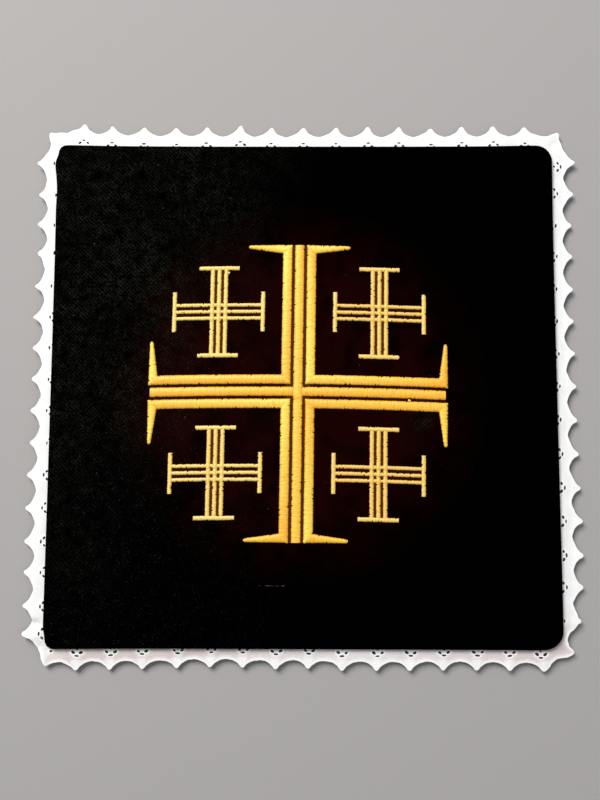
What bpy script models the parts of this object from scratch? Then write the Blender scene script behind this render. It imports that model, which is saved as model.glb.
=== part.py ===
"""A chalice pall: a stiff square board covered in black twill, an eyelet lace edging sewn into its
edge seam, and a Jerusalem cross in raised gold satin stitch.

Metres, +Z up. The origin is the middle of the board's underside, on which the pall lies. Seen from
above with the cross upright, -X is the left side and -Y the bottom one.
"""

import math

import bmesh
import bpy

MM = 0.001
WELD = 0.01 * MM

# Edges that turn by more than this stay sharp
SHARP_TURN = math.radians(35)

# The board with its cloth
SIDE = 160 * MM
THICKNESS = 4.0 * MM
EDGE_ROUND = 0.9 * MM
EDGE_STEPS = 2
CORNER_STEPS = 7
SIDE_STEPS = 8
BOW_POWER = 4

# How far each side of the cloth stands out from the square: at its low end, its middle and its high
# end, where low and high are along +X or +Y
SIDE_BOWS = {
    "bottom": {"low": 0.15 * MM, "middle": -0.15 * MM, "high": -0.10 * MM},
    "right": {"low": 0.00 * MM, "middle": 0.00 * MM, "high": 0.40 * MM},
    "top": {"low": 0.30 * MM, "middle": -0.25 * MM, "high": 0.15 * MM},
    "left": {"low": -0.10 * MM, "middle": -0.15 * MM, "high": 0.45 * MM},
}

# The rounding of each corner: its reach along X and along Y, and how full it is, where 2 is an arc
CORNERS = {
    "bottom_right": {"along_x": 6.0 * MM, "along_y": 5.6 * MM, "fullness": 2.0},
    "top_right": {"along_x": 5.0 * MM, "along_y": 5.0 * MM, "fullness": 2.0},
    "top_left": {"along_x": 3.2 * MM, "along_y": 5.2 * MM, "fullness": 2.3},
    "bottom_left": {"along_x": 3.4 * MM, "along_y": 6.0 * MM, "fullness": 2.5},
}

# The edge seam: a groove round the board's side that holds the root of the lace
LACE_THICKNESS = 1.0 * MM
LACE_LEVEL = 1.5 * MM
CLEARANCE = 0.3 * MM
TUCK = 2.0 * MM
SEAM_ROUND = 3.0 * MM
SEAM_MOUTH = 4.0 * MM

# The scallops along each side of the lace: how many tips, where the first two and the last stand
# along the side, how far the hollows between them reach from the board's middle at the side's low
# end, middle and high end, and where on its wander the side starts
SCALLOPS = {
    "bottom": {"tips": 15, "first": -70.0 * MM, "second": -59.5 * MM, "last": 74.2 * MM,
               "low": 84.4 * MM, "middle": 83.5 * MM, "high": 84.1 * MM, "wander": 0.0},
    "right": {"tips": 15, "first": -71.3 * MM, "second": -61.3 * MM, "last": 75.0 * MM,
              "low": 83.9 * MM, "middle": 83.7 * MM, "high": 84.8 * MM, "wander": 1.0},
    "top": {"tips": 15, "first": -72.0 * MM, "second": -62.8 * MM, "last": 72.2 * MM,
            "low": 85.2 * MM, "middle": 83.7 * MM, "high": 84.1 * MM, "wander": 2.0},
    "left": {"tips": 16, "first": -76.0 * MM, "second": -67.5 * MM, "last": 74.8 * MM,
             "low": 84.2 * MM, "middle": 83.5 * MM, "high": 84.0 * MM, "wander": 3.0},
}
# A tip is a short blunt end, one corner of which lies a little lower
TIP_RISE = 3.0 * MM
TIP_HALF = 0.42 * MM
TIP_SLOPE = 0.04 * MM
# A scallop's edge from its hollow to its tip: the share of the way along, and of the rise
SCALLOP_STEPS = (
    {"along": 0.00, "rise": 0.00},
    {"along": 0.30, "rise": 0.10},
    {"along": 0.55, "rise": 0.30},
    {"along": 0.75, "rise": 0.54},
    {"along": 0.88, "rise": 0.84},
)
UNEVEN_REACH = 0.22 * MM
UNEVEN_PLACE = 0.30 * MM
# The wander of what was sewn by eye: two waves, with the turn from one tip to the next, the share
# in the whole and how fast the start moves on from side to side
WANDER_WAVES = (
    {"turn": 2.3, "share": 0.6, "start": 1.0},
    {"turn": 5.1, "share": 0.4, "start": 2.7},
)

# The lobe of lace at each corner, as the points of its edge from the side before it to the side
# after it, in the order bottom, right, top, left
LOBES = {
    "bottom_right": (
        {"x": 76.2 * MM, "y": -85.2 * MM},
        {"x": 78.3 * MM, "y": -82.8 * MM},
        {"x": 81.2 * MM, "y": -82.5 * MM},
        {"x": 83.3 * MM, "y": -81.8 * MM},
        {"x": 83.8 * MM, "y": -81.0 * MM},
        {"x": 83.4 * MM, "y": -80.3 * MM},
        {"x": 82.2 * MM, "y": -79.3 * MM},
        {"x": 81.6 * MM, "y": -77.0 * MM},
        {"x": 83.4 * MM, "y": -74.4 * MM},
    ),
    "top_right": (
        {"x": 85.6 * MM, "y": 78.0 * MM},
        {"x": 84.5 * MM, "y": 79.6 * MM},
        {"x": 84.0 * MM, "y": 81.5 * MM},
        {"x": 83.7 * MM, "y": 84.6 * MM},
        {"x": 83.0 * MM, "y": 85.3 * MM},
        {"x": 80.6 * MM, "y": 84.4 * MM},
        {"x": 77.4 * MM, "y": 84.1 * MM},
    ),
    "top_left": (
        {"x": -76.6 * MM, "y": 85.6 * MM},
        {"x": -80.0 * MM, "y": 85.4 * MM},
        {"x": -83.0 * MM, "y": 85.5 * MM},
        {"x": -83.8 * MM, "y": 84.8 * MM},
        {"x": -83.3 * MM, "y": 82.6 * MM},
        {"x": -83.2 * MM, "y": 79.6 * MM},
        {"x": -84.4 * MM, "y": 77.8 * MM},
    ),
    "bottom_left": (
        {"x": -85.2 * MM, "y": -77.2 * MM},
        {"x": -82.0 * MM, "y": -80.2 * MM},
        {"x": -80.9 * MM, "y": -83.2 * MM},
        {"x": -79.6 * MM, "y": -85.8 * MM},
        {"x": -78.9 * MM, "y": -85.6 * MM},
        {"x": -77.0 * MM, "y": -84.7 * MM},
        {"x": -74.6 * MM, "y": -84.3 * MM},
    ),
}

# The embroidery, worked out on a true square grid round its own middle
STITCH_HEIGHT = 0.6 * MM
STITCH_ROUND = 0.25 * MM
BAR_WIDTH = 3.05 * MM
BAR_GAP = 0.8 * MM
UPRIGHT_REACH = 47.3 * MM
CROSSBAR_REACH = 46.7 * MM
ANGLE_REACH = 47.35 * MM
SPUR_LENGTH = 10.9 * MM
SPUR_ROOT = 2.95 * MM
SPUR_TIP = 1.25 * MM
SPUR_TIP_CUT = 0.35 * MM
SPUR_TIP_DROP = 0.55 * MM
SPUR_EASE = 0.15 * MM
SMALL_OFFSET = 25.6 * MM
SMALL_REACH = 14.8 * MM
SMALL_WIDTH = 1.4 * MM
SMALL_PITCH = 2.13 * MM
SMALL_END_WIDTH = 1.4 * MM
SMALL_END_LENGTH = 12.9 * MM
# A slot between two bars of an arm ends this far short of the bars across it
SLOT_EASE = 0.05 * MM

# How the embroidery lies on the board: its middle, its lean, its fall to the right and, in metres
# per square metre, its fall to both sides
LAID_X = -1.65 * MM
LAID_Y = -0.45 * MM
LAID_LEAN = 0.0115
LAID_DROP = 0.0082
LAID_ARCH = 0.38

MATERIALS = {
    "black_twill": {"color": (0.012, 0.011, 0.012, 1.0), "roughness": 0.85},
    "white_cotton": {"color": (0.88, 0.87, 0.86, 1.0), "roughness": 0.80},
    "gold_thread": {"color": (0.80, 0.50, 0.10, 1.0), "roughness": 0.45},
}

QUARTERS = {"ne": (1, 1), "nw": (-1, 1), "sw": (-1, -1), "se": (1, -1)}


def clear_scene():
    for thing in list(bpy.data.objects):
        bpy.data.objects.remove(thing, do_unlink=True)


def collection_named(name):
    made = bpy.data.collections.new(name)
    bpy.context.scene.collection.children.link(made)
    return made


def material_named(name):
    """A fabric material with the colour and roughness of its row in MATERIALS."""
    made = bpy.data.materials.get(name)
    if made is not None:
        return made
    made = bpy.data.materials.new(name)
    made.use_nodes = True
    shader = made.node_tree.nodes["Principled BSDF"]
    shader.inputs["Base Color"].default_value = MATERIALS[name]["color"]
    shader.inputs["Roughness"].default_value = MATERIALS[name]["roughness"]
    shader.inputs["Metallic"].default_value = 0.0
    return made


def flat_outline(name, loops, bottom, top, collection, rounding=0.0, steps=0):
    """A mesh object of one thickness: the area inside the first loop and outside the others.

    Its rims are rounded inwards by the given amount, in the given number of extra steps.
    """
    curve = bpy.data.curves.new(name, "CURVE")
    curve.dimensions = "2D"
    curve.fill_mode = "BOTH"
    curve.extrude = (top - bottom) / 2 - rounding
    curve.bevel_depth = rounding
    curve.bevel_resolution = steps
    curve.offset = -rounding
    for loop in loops:
        spline = curve.splines.new("POLY")
        spline.points.add(len(loop) - 1)
        for point, place in zip(spline.points, loop):
            point.co = (place[0], place[1], 0.0, 1.0)
        spline.use_cyclic_u = True
    guide = bpy.data.objects.new(name + "_guide", curve)
    collection.objects.link(guide)
    guide.location.z = (bottom + top) / 2
    return meshed(guide, name, collection)


def meshed(guide, name, collection):
    """The guide curve as a closed mesh object, with the curve removed."""
    bpy.context.view_layer.update()
    graph = bpy.context.evaluated_depsgraph_get()
    mesh = bpy.data.meshes.new_from_object(guide.evaluated_get(graph))
    mesh.transform(guide.matrix_world)
    work = bmesh.new()
    work.from_mesh(mesh)
    bmesh.ops.remove_doubles(work, verts=work.verts, dist=WELD)
    bmesh.ops.recalc_face_normals(work, faces=work.faces)
    work.to_mesh(mesh)
    work.free()
    mesh.name = name
    made = bpy.data.objects.new(name, mesh)
    collection.objects.link(made)
    curve = guide.data
    bpy.data.objects.remove(guide)
    bpy.data.curves.remove(curve)
    return made


def bow_at(side, share):
    """How far a side of the cloth stands out, with share from -1 at its low end to 1 at its high end."""
    row = SIDE_BOWS[side]
    end = row["high"] if share > 0 else row["low"]
    return row["middle"] + (end - row["middle"]) * abs(share) ** BOW_POWER


def corner_arc(name, sign_x, sign_y, corner_x, corner_y, starts_on_x_side):
    """The points of a rounded corner. The corner point is where its two sides would meet."""
    row = CORNERS[name]
    points = []
    for step in range(CORNER_STEPS + 1):
        angle = math.pi / 2 * step / CORNER_STEPS
        across = math.sin(angle) ** (2 / row["fullness"])
        along = math.cos(angle) ** (2 / row["fullness"])
        x = corner_x - sign_x * row["along_x"] * (1 - across)
        y = corner_y - sign_y * row["along_y"] * (1 - along)
        points.append((x, y))
    return points if starts_on_x_side else points[::-1]


def board_outline():
    """The board's outline, counterclockwise from the low end of the bottom side."""
    half = SIDE / 2
    low_left = (-half - bow_at("left", -1), -half - bow_at("bottom", -1))
    low_right = (half + bow_at("right", -1), -half - bow_at("bottom", 1))
    high_right = (half + bow_at("right", 1), half + bow_at("top", 1))
    high_left = (-half - bow_at("left", 1), half + bow_at("top", -1))
    shares = [2 * step / SIDE_STEPS - 1 for step in range(1, SIDE_STEPS)]
    bottom = [(share * half, -half - bow_at("bottom", share)) for share in shares]
    right = [(half + bow_at("right", share), share * half) for share in shares]
    top = [(share * half, half + bow_at("top", share)) for share in reversed(shares)]
    left = [(-half - bow_at("left", share), share * half) for share in reversed(shares)]
    return (bottom + corner_arc("bottom_right", 1, -1, *low_right, True)
            + right + corner_arc("top_right", 1, 1, *high_right, False)
            + top + corner_arc("top_left", -1, 1, *high_left, True)
            + left + corner_arc("bottom_left", -1, -1, *low_left, False))


def rounded_square(half, radius):
    """A square with round corners, counterclockwise."""
    points = []
    for turn, (sign_x, sign_y) in enumerate(((1, -1), (1, 1), (-1, 1), (-1, -1))):
        for step in range(CORNER_STEPS + 1):
            angle = math.pi / 2 * (turn - 1 + step / CORNER_STEPS)
            x = sign_x * (half - radius) + radius * math.cos(angle)
            y = sign_y * (half - radius) + radius * math.sin(angle)
            points.append((x, y))
    return points


def panel(collection, cutters):
    """The covered board, with rounded edges and the groove of its edge seam."""
    made = flat_outline("panel", [board_outline()], 0.0, THICKNESS, collection,
                        EDGE_ROUND, EDGE_STEPS)
    outer = rounded_square(SIDE / 2 + SEAM_MOUTH, SEAM_ROUND)
    inner = rounded_square(SIDE / 2 - TUCK - CLEARANCE, SEAM_ROUND)
    low = LACE_LEVEL - CLEARANCE
    high = LACE_LEVEL + LACE_THICKNESS + CLEARANCE
    groove = flat_outline("seam_groove", [outer, inner], low, high, cutters)
    groove.hide_render = True
    groove.display_type = "WIRE"
    seam = made.modifiers.new("edge_seam", "BOOLEAN")
    seam.operation = "DIFFERENCE"
    seam.solver = "EXACT"
    seam.object = groove
    finished(made, "black_twill")
    return made


def wander(number, start):
    """A share between -1 and 1 that differs from one number to the next, the same each time."""
    return sum(wave["share"] * math.sin(wave["turn"] * number + wave["start"] * start)
               for wave in WANDER_WAVES)


def hollow_reach(row, place):
    """How far the hollows of a side of the lace reach, at a place along it."""
    end = row["high"] if place > 0 else row["low"]
    return row["middle"] + (end - row["middle"]) * (2 * place / SIDE) ** 2


def scallop_tips(row):
    """(place along the side, reach) of each tip. The first two and the last keep their places."""
    last_number = row["tips"] - 1
    pitch = (row["last"] - row["second"]) / (last_number - 1)
    tips = []
    for number in range(row["tips"]):
        place = row["second"] + (number - 1) * pitch if number else row["first"]
        if 1 < number < last_number:
            place += UNEVEN_PLACE * wander(number, row["wander"])
        rise = TIP_RISE + UNEVEN_REACH * wander(number, row["wander"] + 1)
        tips.append((place, hollow_reach(row, place) + rise))
    return tips


def half_scallop(middle, bottom, tip):
    """The edge from the hollow's middle up to the tip, without the tip itself."""
    place, reach = tip
    return [(middle + (place - middle) * step["along"], bottom + (reach - bottom) * step["rise"])
            for step in SCALLOP_STEPS]


def scallop_edge(side):
    """(place along the side, reach) of the lace's edge, from the first tip to the last."""
    row = SCALLOPS[side]
    tips = scallop_tips(row)
    edge = []
    for tip, after in zip(tips, tips[1:] + [None]):
        edge.append((tip[0] - TIP_HALF, tip[1] - TIP_SLOPE))
        edge.append((tip[0] + TIP_HALF, tip[1]))
        if after is None:
            continue
        middle = (tip[0] + after[0]) / 2
        bottom = hollow_reach(row, middle)
        edge += half_scallop(middle, bottom, tip)[::-1]
        edge += half_scallop(middle, bottom, after)[1:]
    return edge


def lobe(name):
    return [(point["x"], point["y"]) for point in LOBES[name]]


def lace_outline():
    """The lace's outer edge, counterclockwise."""
    bottom = [(along, -reach) for along, reach in scallop_edge("bottom")]
    right = [(reach, along) for along, reach in scallop_edge("right")]
    top = [(along, reach) for along, reach in reversed(scallop_edge("top"))]
    left = [(-reach, along) for along, reach in reversed(scallop_edge("left"))]
    return (bottom + lobe("bottom_right") + right + lobe("top_right")
            + top + lobe("top_left") + left + lobe("bottom_left"))


def lace_edging(collection):
    """One flat ring of lace, its root in the board's edge seam and its scallops outside."""
    root = rounded_square(SIDE / 2 - TUCK, SEAM_ROUND)
    top = LACE_LEVEL + LACE_THICKNESS
    made = flat_outline("lace_edging", [lace_outline(), root], LACE_LEVEL, top, collection)
    finished(made, "white_cotton")
    return made


def laid(thing):
    """Moves the points of an embroidered piece from its true square grid to where it lies."""
    for vertex in thing.data.vertices:
        across, up = vertex.co.x, vertex.co.y
        vertex.co.x = LAID_X + across + LAID_LEAN * up
        vertex.co.y = LAID_Y + up - LAID_DROP * across - LAID_ARCH * across ** 2
    thing.data.update()


def stitched(name, loops, collection):
    """A raised piece of satin stitch with softly rounded rims."""
    bottom = THICKNESS + CLEARANCE
    made = flat_outline(name, loops, bottom, bottom + STITCH_HEIGHT, collection, STITCH_ROUND)
    laid(made)
    finished(made, "gold_thread")
    return made


def quarter_turned(points, turns):
    """The points, turned about the middle by quarter turns."""
    for _ in range(turns):
        points = [(-y, x) for x, y in points]
    return points


def middle_cross(collection):
    half = BAR_WIDTH / 2
    outline = [
        (-half, -UPRIGHT_REACH), (half, -UPRIGHT_REACH), (half, -half), (CROSSBAR_REACH, -half),
        (CROSSBAR_REACH, half), (half, half), (half, UPRIGHT_REACH), (-half, UPRIGHT_REACH),
        (-half, half), (-CROSSBAR_REACH, half), (-CROSSBAR_REACH, -half), (-half, -half),
    ]
    return stitched("cross_middle", [outline], collection)


def cross_angle(quarter, collection):
    """The angled bar in one quarter of the middle cross, with a tapered spur at each end."""
    near = BAR_WIDTH / 2 + BAR_GAP
    far = near + BAR_WIDTH
    end = ANGLE_REACH
    tip = far + SPUR_LENGTH
    tip_outer = end - SPUR_EASE
    tip_inner = tip_outer - SPUR_TIP
    arm = [
        (near, near), (end, near), (end, far), (tip_outer, tip - SPUR_TIP_DROP),
        (tip_outer - SPUR_TIP_CUT, tip), (tip_inner + SPUR_TIP_CUT, tip),
        (tip_inner, tip - SPUR_TIP_DROP), (end - SPUR_ROOT, far), (far, far),
    ]
    other = [(y, x) for x, y in reversed(arm[1:-1])]
    sign_x, sign_y = QUARTERS[quarter]
    outline = [(sign_x * x, sign_y * y) for x, y in arm + other]
    return stitched(f"cross_angle_{quarter}", [outline], collection)


def small_cross(quarter, collection):
    """Three upright bars over three level ones, each set closed by its end bars, as one body.

    Its loops are the outline, the slot between two bars of an arm, and the hole between crossings.
    """
    near = SMALL_WIDTH / 2
    far = SMALL_PITCH - near
    side = SMALL_PITCH + near
    end = SMALL_REACH - SMALL_END_WIDTH
    half = SMALL_END_LENGTH / 2
    arm = [(side, side), (side, end), (half, end), (half, SMALL_REACH),
           (-half, SMALL_REACH), (-half, end), (-side, end)]
    slot = [(near, side + SLOT_EASE), (far, side + SLOT_EASE),
            (far, end - SLOT_EASE), (near, end - SLOT_EASE)]
    other_slot = [(-x, y) for x, y in reversed(slot)]
    hole = [(near, near), (far, near), (far, far), (near, far)]
    loops = [[point for turns in range(4) for point in quarter_turned(arm, turns)]]
    for turns in range(4):
        for gap in (slot, other_slot, hole):
            loops.append(quarter_turned(gap, turns))
    sign_x, sign_y = QUARTERS[quarter]
    placed = [[(x + sign_x * SMALL_OFFSET, y + sign_y * SMALL_OFFSET) for x, y in loop]
              for loop in loops]
    return stitched(f"small_cross_{quarter}", placed, collection)


def finished(thing, material):
    thing.data.materials.clear()
    thing.data.materials.append(material_named(material))
    thing.data.shade_smooth()
    thing.data.set_sharp_from_angle(angle=SHARP_TURN)


def build():
    clear_scene()
    pall = collection_named("chalice_pall")
    cutters = collection_named("cutters")
    panel(pall, cutters)
    lace_edging(pall)
    middle_cross(pall)
    for quarter in QUARTERS:
        cross_angle(quarter, pall)
        small_cross(quarter, pall)


build()
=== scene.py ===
# %% [markdown]
# A chalice pall is a stiff square that covers a chalice. This one is a board in black twill, with
# white eyelet lace sewn into its edge seam and a Jerusalem cross in gold satin stitch. The solids
# that carry it come first: everything below is modelled round them, in metres, and hides them.

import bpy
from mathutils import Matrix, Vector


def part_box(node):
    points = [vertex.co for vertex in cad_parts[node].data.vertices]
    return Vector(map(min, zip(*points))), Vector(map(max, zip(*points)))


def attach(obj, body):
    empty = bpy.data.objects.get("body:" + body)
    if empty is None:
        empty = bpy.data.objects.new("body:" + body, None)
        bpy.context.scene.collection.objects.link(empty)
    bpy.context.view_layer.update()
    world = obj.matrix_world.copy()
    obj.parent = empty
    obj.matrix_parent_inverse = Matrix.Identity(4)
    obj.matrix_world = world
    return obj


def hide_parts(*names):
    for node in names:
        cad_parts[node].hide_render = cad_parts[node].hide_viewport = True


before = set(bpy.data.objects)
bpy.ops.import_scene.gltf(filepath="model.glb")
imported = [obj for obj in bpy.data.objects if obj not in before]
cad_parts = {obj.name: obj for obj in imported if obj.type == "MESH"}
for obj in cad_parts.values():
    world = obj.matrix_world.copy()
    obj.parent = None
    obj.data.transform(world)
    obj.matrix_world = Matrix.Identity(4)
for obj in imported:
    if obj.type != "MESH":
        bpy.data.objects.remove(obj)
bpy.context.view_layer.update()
print("solids:", sorted(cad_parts))

# %% [markdown]
# The script needs Blender's mesh tools, a seeded random source and a few helpers. Millimetres read
# more easily than metres for a thing of this size, so every size is a number times MM.

# %% Imports and units
import math
import random

import bmesh
import bpy
from mathutils import Vector, noise
from mathutils.geometry import delaunay_2d_cdt
from mathutils.kdtree import KDTree

MM = 0.001
scene = bpy.context.scene
print("sizes are in metres, and MM is", MM)

# %% [markdown]
# The camera stands almost straight above the pall, a little towards its lower edge, and looks down
# through a normal lens. Its place was worked out from the four corners of the board, which are a
# true square, so the render and the photograph can be compared edge by edge.

# %% Camera
CAMERA_PLACE = (1.37 * MM, -35.36 * MM, 295.86 * MM)
CAMERA_TURN = (0.10990, 0.00765, 0.00297)
CAMERA_LENS = 41.89

lens = bpy.data.cameras.new("camera")
lens.lens = CAMERA_LENS
lens.sensor_width = 36.0
lens.clip_start = 0.01
camera = bpy.data.objects.new("camera", lens)
camera.location = CAMERA_PLACE
camera.rotation_euler = CAMERA_TURN
scene.collection.objects.link(camera)
scene.camera = camera
print("camera looks from", [round(value / MM) for value in CAMERA_PLACE], "mm")

# %% [markdown]
# Light comes from the upper left: one large soft lamp for the shine on the thread and the shadows
# on the right and below, a weak one from the other side, and a grey sky that fills the rest. A
# large lamp gives soft shadows, as a window does. The floor is plain and pale.

# %% Light and floor
LAMPS = {
    "window": {"place": (-0.46, 0.64, 0.92), "size": 0.62, "power": 24.3, "colour": (1.0, 0.985, 0.96)},
    "fill": {"place": (0.60, -0.35, 0.80), "size": 0.80, "power": 1.6, "colour": (0.95, 0.97, 1.0)},
}
SKY_COLOUR = (0.90, 0.93, 1.0, 1.0)
SKY_STRENGTH = 0.42
FLOOR_SIZE = 3.0
FLOOR_LEVEL = -0.05 * MM
FLOOR_COLOUR = (0.255, 0.245, 0.240, 1.0)


def add_lamp(name, row):
    """A square area lamp that faces the origin."""
    light = bpy.data.lights.new(name, "AREA")
    light.size = row["size"]
    light.energy = row["power"]
    light.color = row["colour"]
    lamp = bpy.data.objects.new(name, light)
    lamp.location = row["place"]
    lamp.rotation_euler = (-Vector(row["place"])).to_track_quat("-Z", "Y").to_euler()
    scene.collection.objects.link(lamp)
    return lamp


for lamp_name, lamp_row in LAMPS.items():
    add_lamp(lamp_name, lamp_row)

sky = bpy.data.worlds.new("sky")
sky.use_nodes = True
sky.node_tree.nodes["Background"].inputs["Color"].default_value = SKY_COLOUR
sky.node_tree.nodes["Background"].inputs["Strength"].default_value = SKY_STRENGTH
scene.world = sky
scene.view_settings.view_transform = "Standard"

bpy.ops.mesh.primitive_plane_add(size=FLOOR_SIZE, location=(0.0, 0.0, FLOOR_LEVEL))
floor = bpy.context.object
floor.name = "floor"
floor_paint = bpy.data.materials.new("floor_paint")
floor_paint.use_nodes = True
floor_shader = floor_paint.node_tree.nodes["Principled BSDF"]
floor_shader.inputs["Base Color"].default_value = FLOOR_COLOUR
floor_shader.inputs["Roughness"].default_value = 0.9
floor.data.materials.append(floor_paint)
print("lamps:", list(LAMPS), "and a floor of", FLOOR_SIZE, "m")

# %% [markdown]
# The outlines aren't drawn again: they are read from the solids. An edge of a solid belongs to an
# outline if both its ends lie at one level and a face beside it isn't level. Walking from edge to
# edge gives closed loops, which are then turned counterclockwise and walked at an even step.

# %% Outlines from the solids
LEVEL_SLACK = 0.01 * MM
MERGE_GAP = LEVEL_SLACK / 10
LEVEL_NORMAL = 0.99
FEWEST_POINTS = 8
CUT_SHARE = 0.25
SHOULDER = 0.9 * MM


def level_loops(node, level):
    """The closed outlines of a solid at one level, as lists of (x, y), the longest first."""
    work = bmesh.new()
    work.from_mesh(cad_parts[node].data)
    bmesh.ops.remove_doubles(work, verts=work.verts, dist=MERGE_GAP)
    beside = {}
    for edge in work.edges:
        at_level = all(abs(vertex.co.z - level) < LEVEL_SLACK for vertex in edge.verts)
        if at_level and any(abs(face.normal.z) < LEVEL_NORMAL for face in edge.link_faces):
            first, second = edge.verts
            beside.setdefault(first, []).append(second)
            beside.setdefault(second, []).append(first)
    loops = []
    while beside:
        here, before = next(iter(beside)), None
        loop = []
        while here in beside:
            onward = [vertex for vertex in beside.pop(here) if vertex is not before]
            loop.append((here.co.x, here.co.y))
            before, here = here, onward[0]
        loops.append(loop)
    work.free()
    return sorted(loops, key=loop_length, reverse=True)


def sides_of(loop):
    """Each point of a closed loop together with the next one."""
    return zip(loop, loop[1:] + loop[:1])


def loop_length(loop):
    return sum(math.dist(point, after) for point, after in sides_of(loop))


def counterclockwise(loop):
    area = sum(x0 * y1 - x1 * y0 for (x0, y0), (x1, y1) in sides_of(loop))
    return loop if area > 0 else loop[::-1]


def part_way(start, end, share):
    """The place that lies this share of the way from start to end."""
    return (start[0] + (end[0] - start[0]) * share, start[1] + (end[1] - start[1]) * share)


def corners_cut(loop, rounds):
    """The loop with its corners cut again and again, which rounds it without growing it."""
    for _ in range(rounds):
        cut = []
        for (x0, y0), (x1, y1) in sides_of(loop):
            for share in (CUT_SHARE, 1 - CUT_SHARE):
                cut.append(((1 - share) * x0 + share * x1, (1 - share) * y0 + share * y1))
        loop = cut
    return loop


def walked(loop, step):
    """Points along the closed loop at an even distance, close to the step."""
    count = max(FEWEST_POINTS, round(loop_length(loop) / step))
    pitch = loop_length(loop) / count
    points, due = [], 0.0
    for point, after in sides_of(loop):
        length = math.dist(point, after)
        while due < length and len(points) < count:
            points.append(part_way(point, after, due / length))
            due += pitch
        due -= length
    return points


def outward(loop):
    """The outward unit normal at each point of a counterclockwise loop."""
    normals = []
    for before, after in zip(loop[-1:] + loop[:-1], loop[1:] + loop[:1]):
        along = Vector((after[0] - before[0], after[1] - before[1])).normalized()
        normals.append((along.y, -along.x))
    return normals


def moved(loop, normals, distance):
    """The loop with each point moved this far along its normal."""
    return [(x + nx * distance, y + ny * distance) for (x, y), (nx, ny) in zip(loop, normals)]


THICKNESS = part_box("panel")[1].z
board_edge = counterclockwise(level_loops("panel", THICKNESS - SHOULDER)[0])
lace_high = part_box("lace_edging")[1].z
lace_edge = counterclockwise(level_loops("lace_edging", lace_high)[0])
print("board outline", round(loop_length(board_edge) / MM), "mm, lace outline",
      round(loop_length(lace_edge) / MM), "mm")

# %% [markdown]
# Most pieces here are built from lists of points and faces, because their shapes follow rules that
# no ready tool makes. One helper turns such lists into an object, shades it smooth and keeps what
# was worked out for each point, such as a thread's tone, as an attribute that a material can read.
# What differs from place to place stands in short tables, which a second helper reads.

# %% Mesh and table helpers
def table(columns, *rows):
    """The rows of a table as dictionaries, each value under the name of its column."""
    return [dict(zip(columns.split(), row)) for row in rows]


def mesh_object(name, points, faces, tones):
    """An object from points and faces, with tones as lists of one value for each point."""
    mesh = bpy.data.meshes.new(name)
    mesh.from_pydata(points, [], faces)
    mesh.validate()
    for tone, values in tones.items():
        mesh.attributes.new(tone, "FLOAT", "POINT").data.foreach_set("value", values)
    mesh.shade_smooth()
    made = bpy.data.objects.new(name, mesh)
    scene.collection.objects.link(made)
    print(name, len(mesh.vertices), "points,", sum(len(face.vertices) - 2 for face in mesh.polygons),
          "triangles")
    return made


def ease(low, high, value):
    """0 below low, 1 above high and a smooth rise between."""
    share = min(1.0, max(0.0, (value - low) / (high - low)))
    return share * share * (3 - 2 * share)


def soft_noise(x, y, length, layer):
    """A soft random height, about -1 to 1, whose waves are this long. Layers differ."""
    return noise.noise(Vector((x / length, y / length, layer)))


# %% [markdown]
# The cover is twill drawn tight over the board and closed by a seam round its edge, so from outside
# it is one closed skin. It could be a cube with a Bevel modifier, but the real edge is rounded, a
# little bowed and pinched in at the seam. So rings of points are laid from the middle of the
# underside, out round the edge with its seam, and back to the middle of the top.

# %% The cover
RING_STEP = 1.2 * MM
BOARD_CUTS = 2
SHOULDER_STEPS = 6
SEAM_LEVEL = 2.0 * MM
SEAM_DEPTH = 1.40 * MM
# The cloth stands this much fuller than the board's outline, and where it was folded in at a
# corner it is tucked a little further in or out
FULLNESS = 0.28 * MM
TUCKS = table(
    "place out reach",
    ((-80.7 * MM, 77.4 * MM), -0.50 * MM, 1.6 * MM),
    ((-80.7 * MM, 73.6 * MM), 0.30 * MM, 2.2 * MM),
    ((-80.6 * MM, 65.5 * MM), -0.30 * MM, 4.5 * MM),
    ((-80.3 * MM, -76.6 * MM), -0.40 * MM, 1.9 * MM),
)
# The side of the cover towards its seam: how far in, and how far from the seam's level
SEAM_PROFILE = table(
    "inset away",
    (0.02 * MM, 0.75 * MM),
    (0.12 * MM, 0.45 * MM),
    (0.45 * MM, 0.30 * MM),
    (SEAM_DEPTH, 0.26 * MM),
)
# Where the rings on the flat faces lie, as shares of the way out from the middle. Those on top
# come closer towards the edge.
OUTER_RINGS = 14
RING_CROWDING = 1.6
TOP_SHARES = [1 - 0.5 * (number / OUTER_RINGS) ** RING_CROWDING for number in range(1, OUTER_RINGS)]
TOP_SHARES += [0.42, 0.34, 0.26, 0.18, 0.1]
UNDER_SHARES = (0.15, 0.35, 0.6, 0.8, 0.93)
SWELL_HEIGHT = 0.10 * MM
SWELL_LENGTH = 26 * MM
SWELL_LAYER = 3.7


def cloth_level(x, y):
    """The level of the cloth on top of the board, which swells and dips very slightly."""
    return THICKNESS + SWELL_HEIGHT * soft_noise(x, y, SWELL_LENGTH, SWELL_LAYER)


def fullness(point):
    """How far the cloth stands out from the board's outline at a point of it."""
    full = FULLNESS
    for tuck in TUCKS:
        full += tuck["out"] * math.exp(-(math.dist(point, tuck["place"]) / tuck["reach"]) ** 2)
    return full


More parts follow.
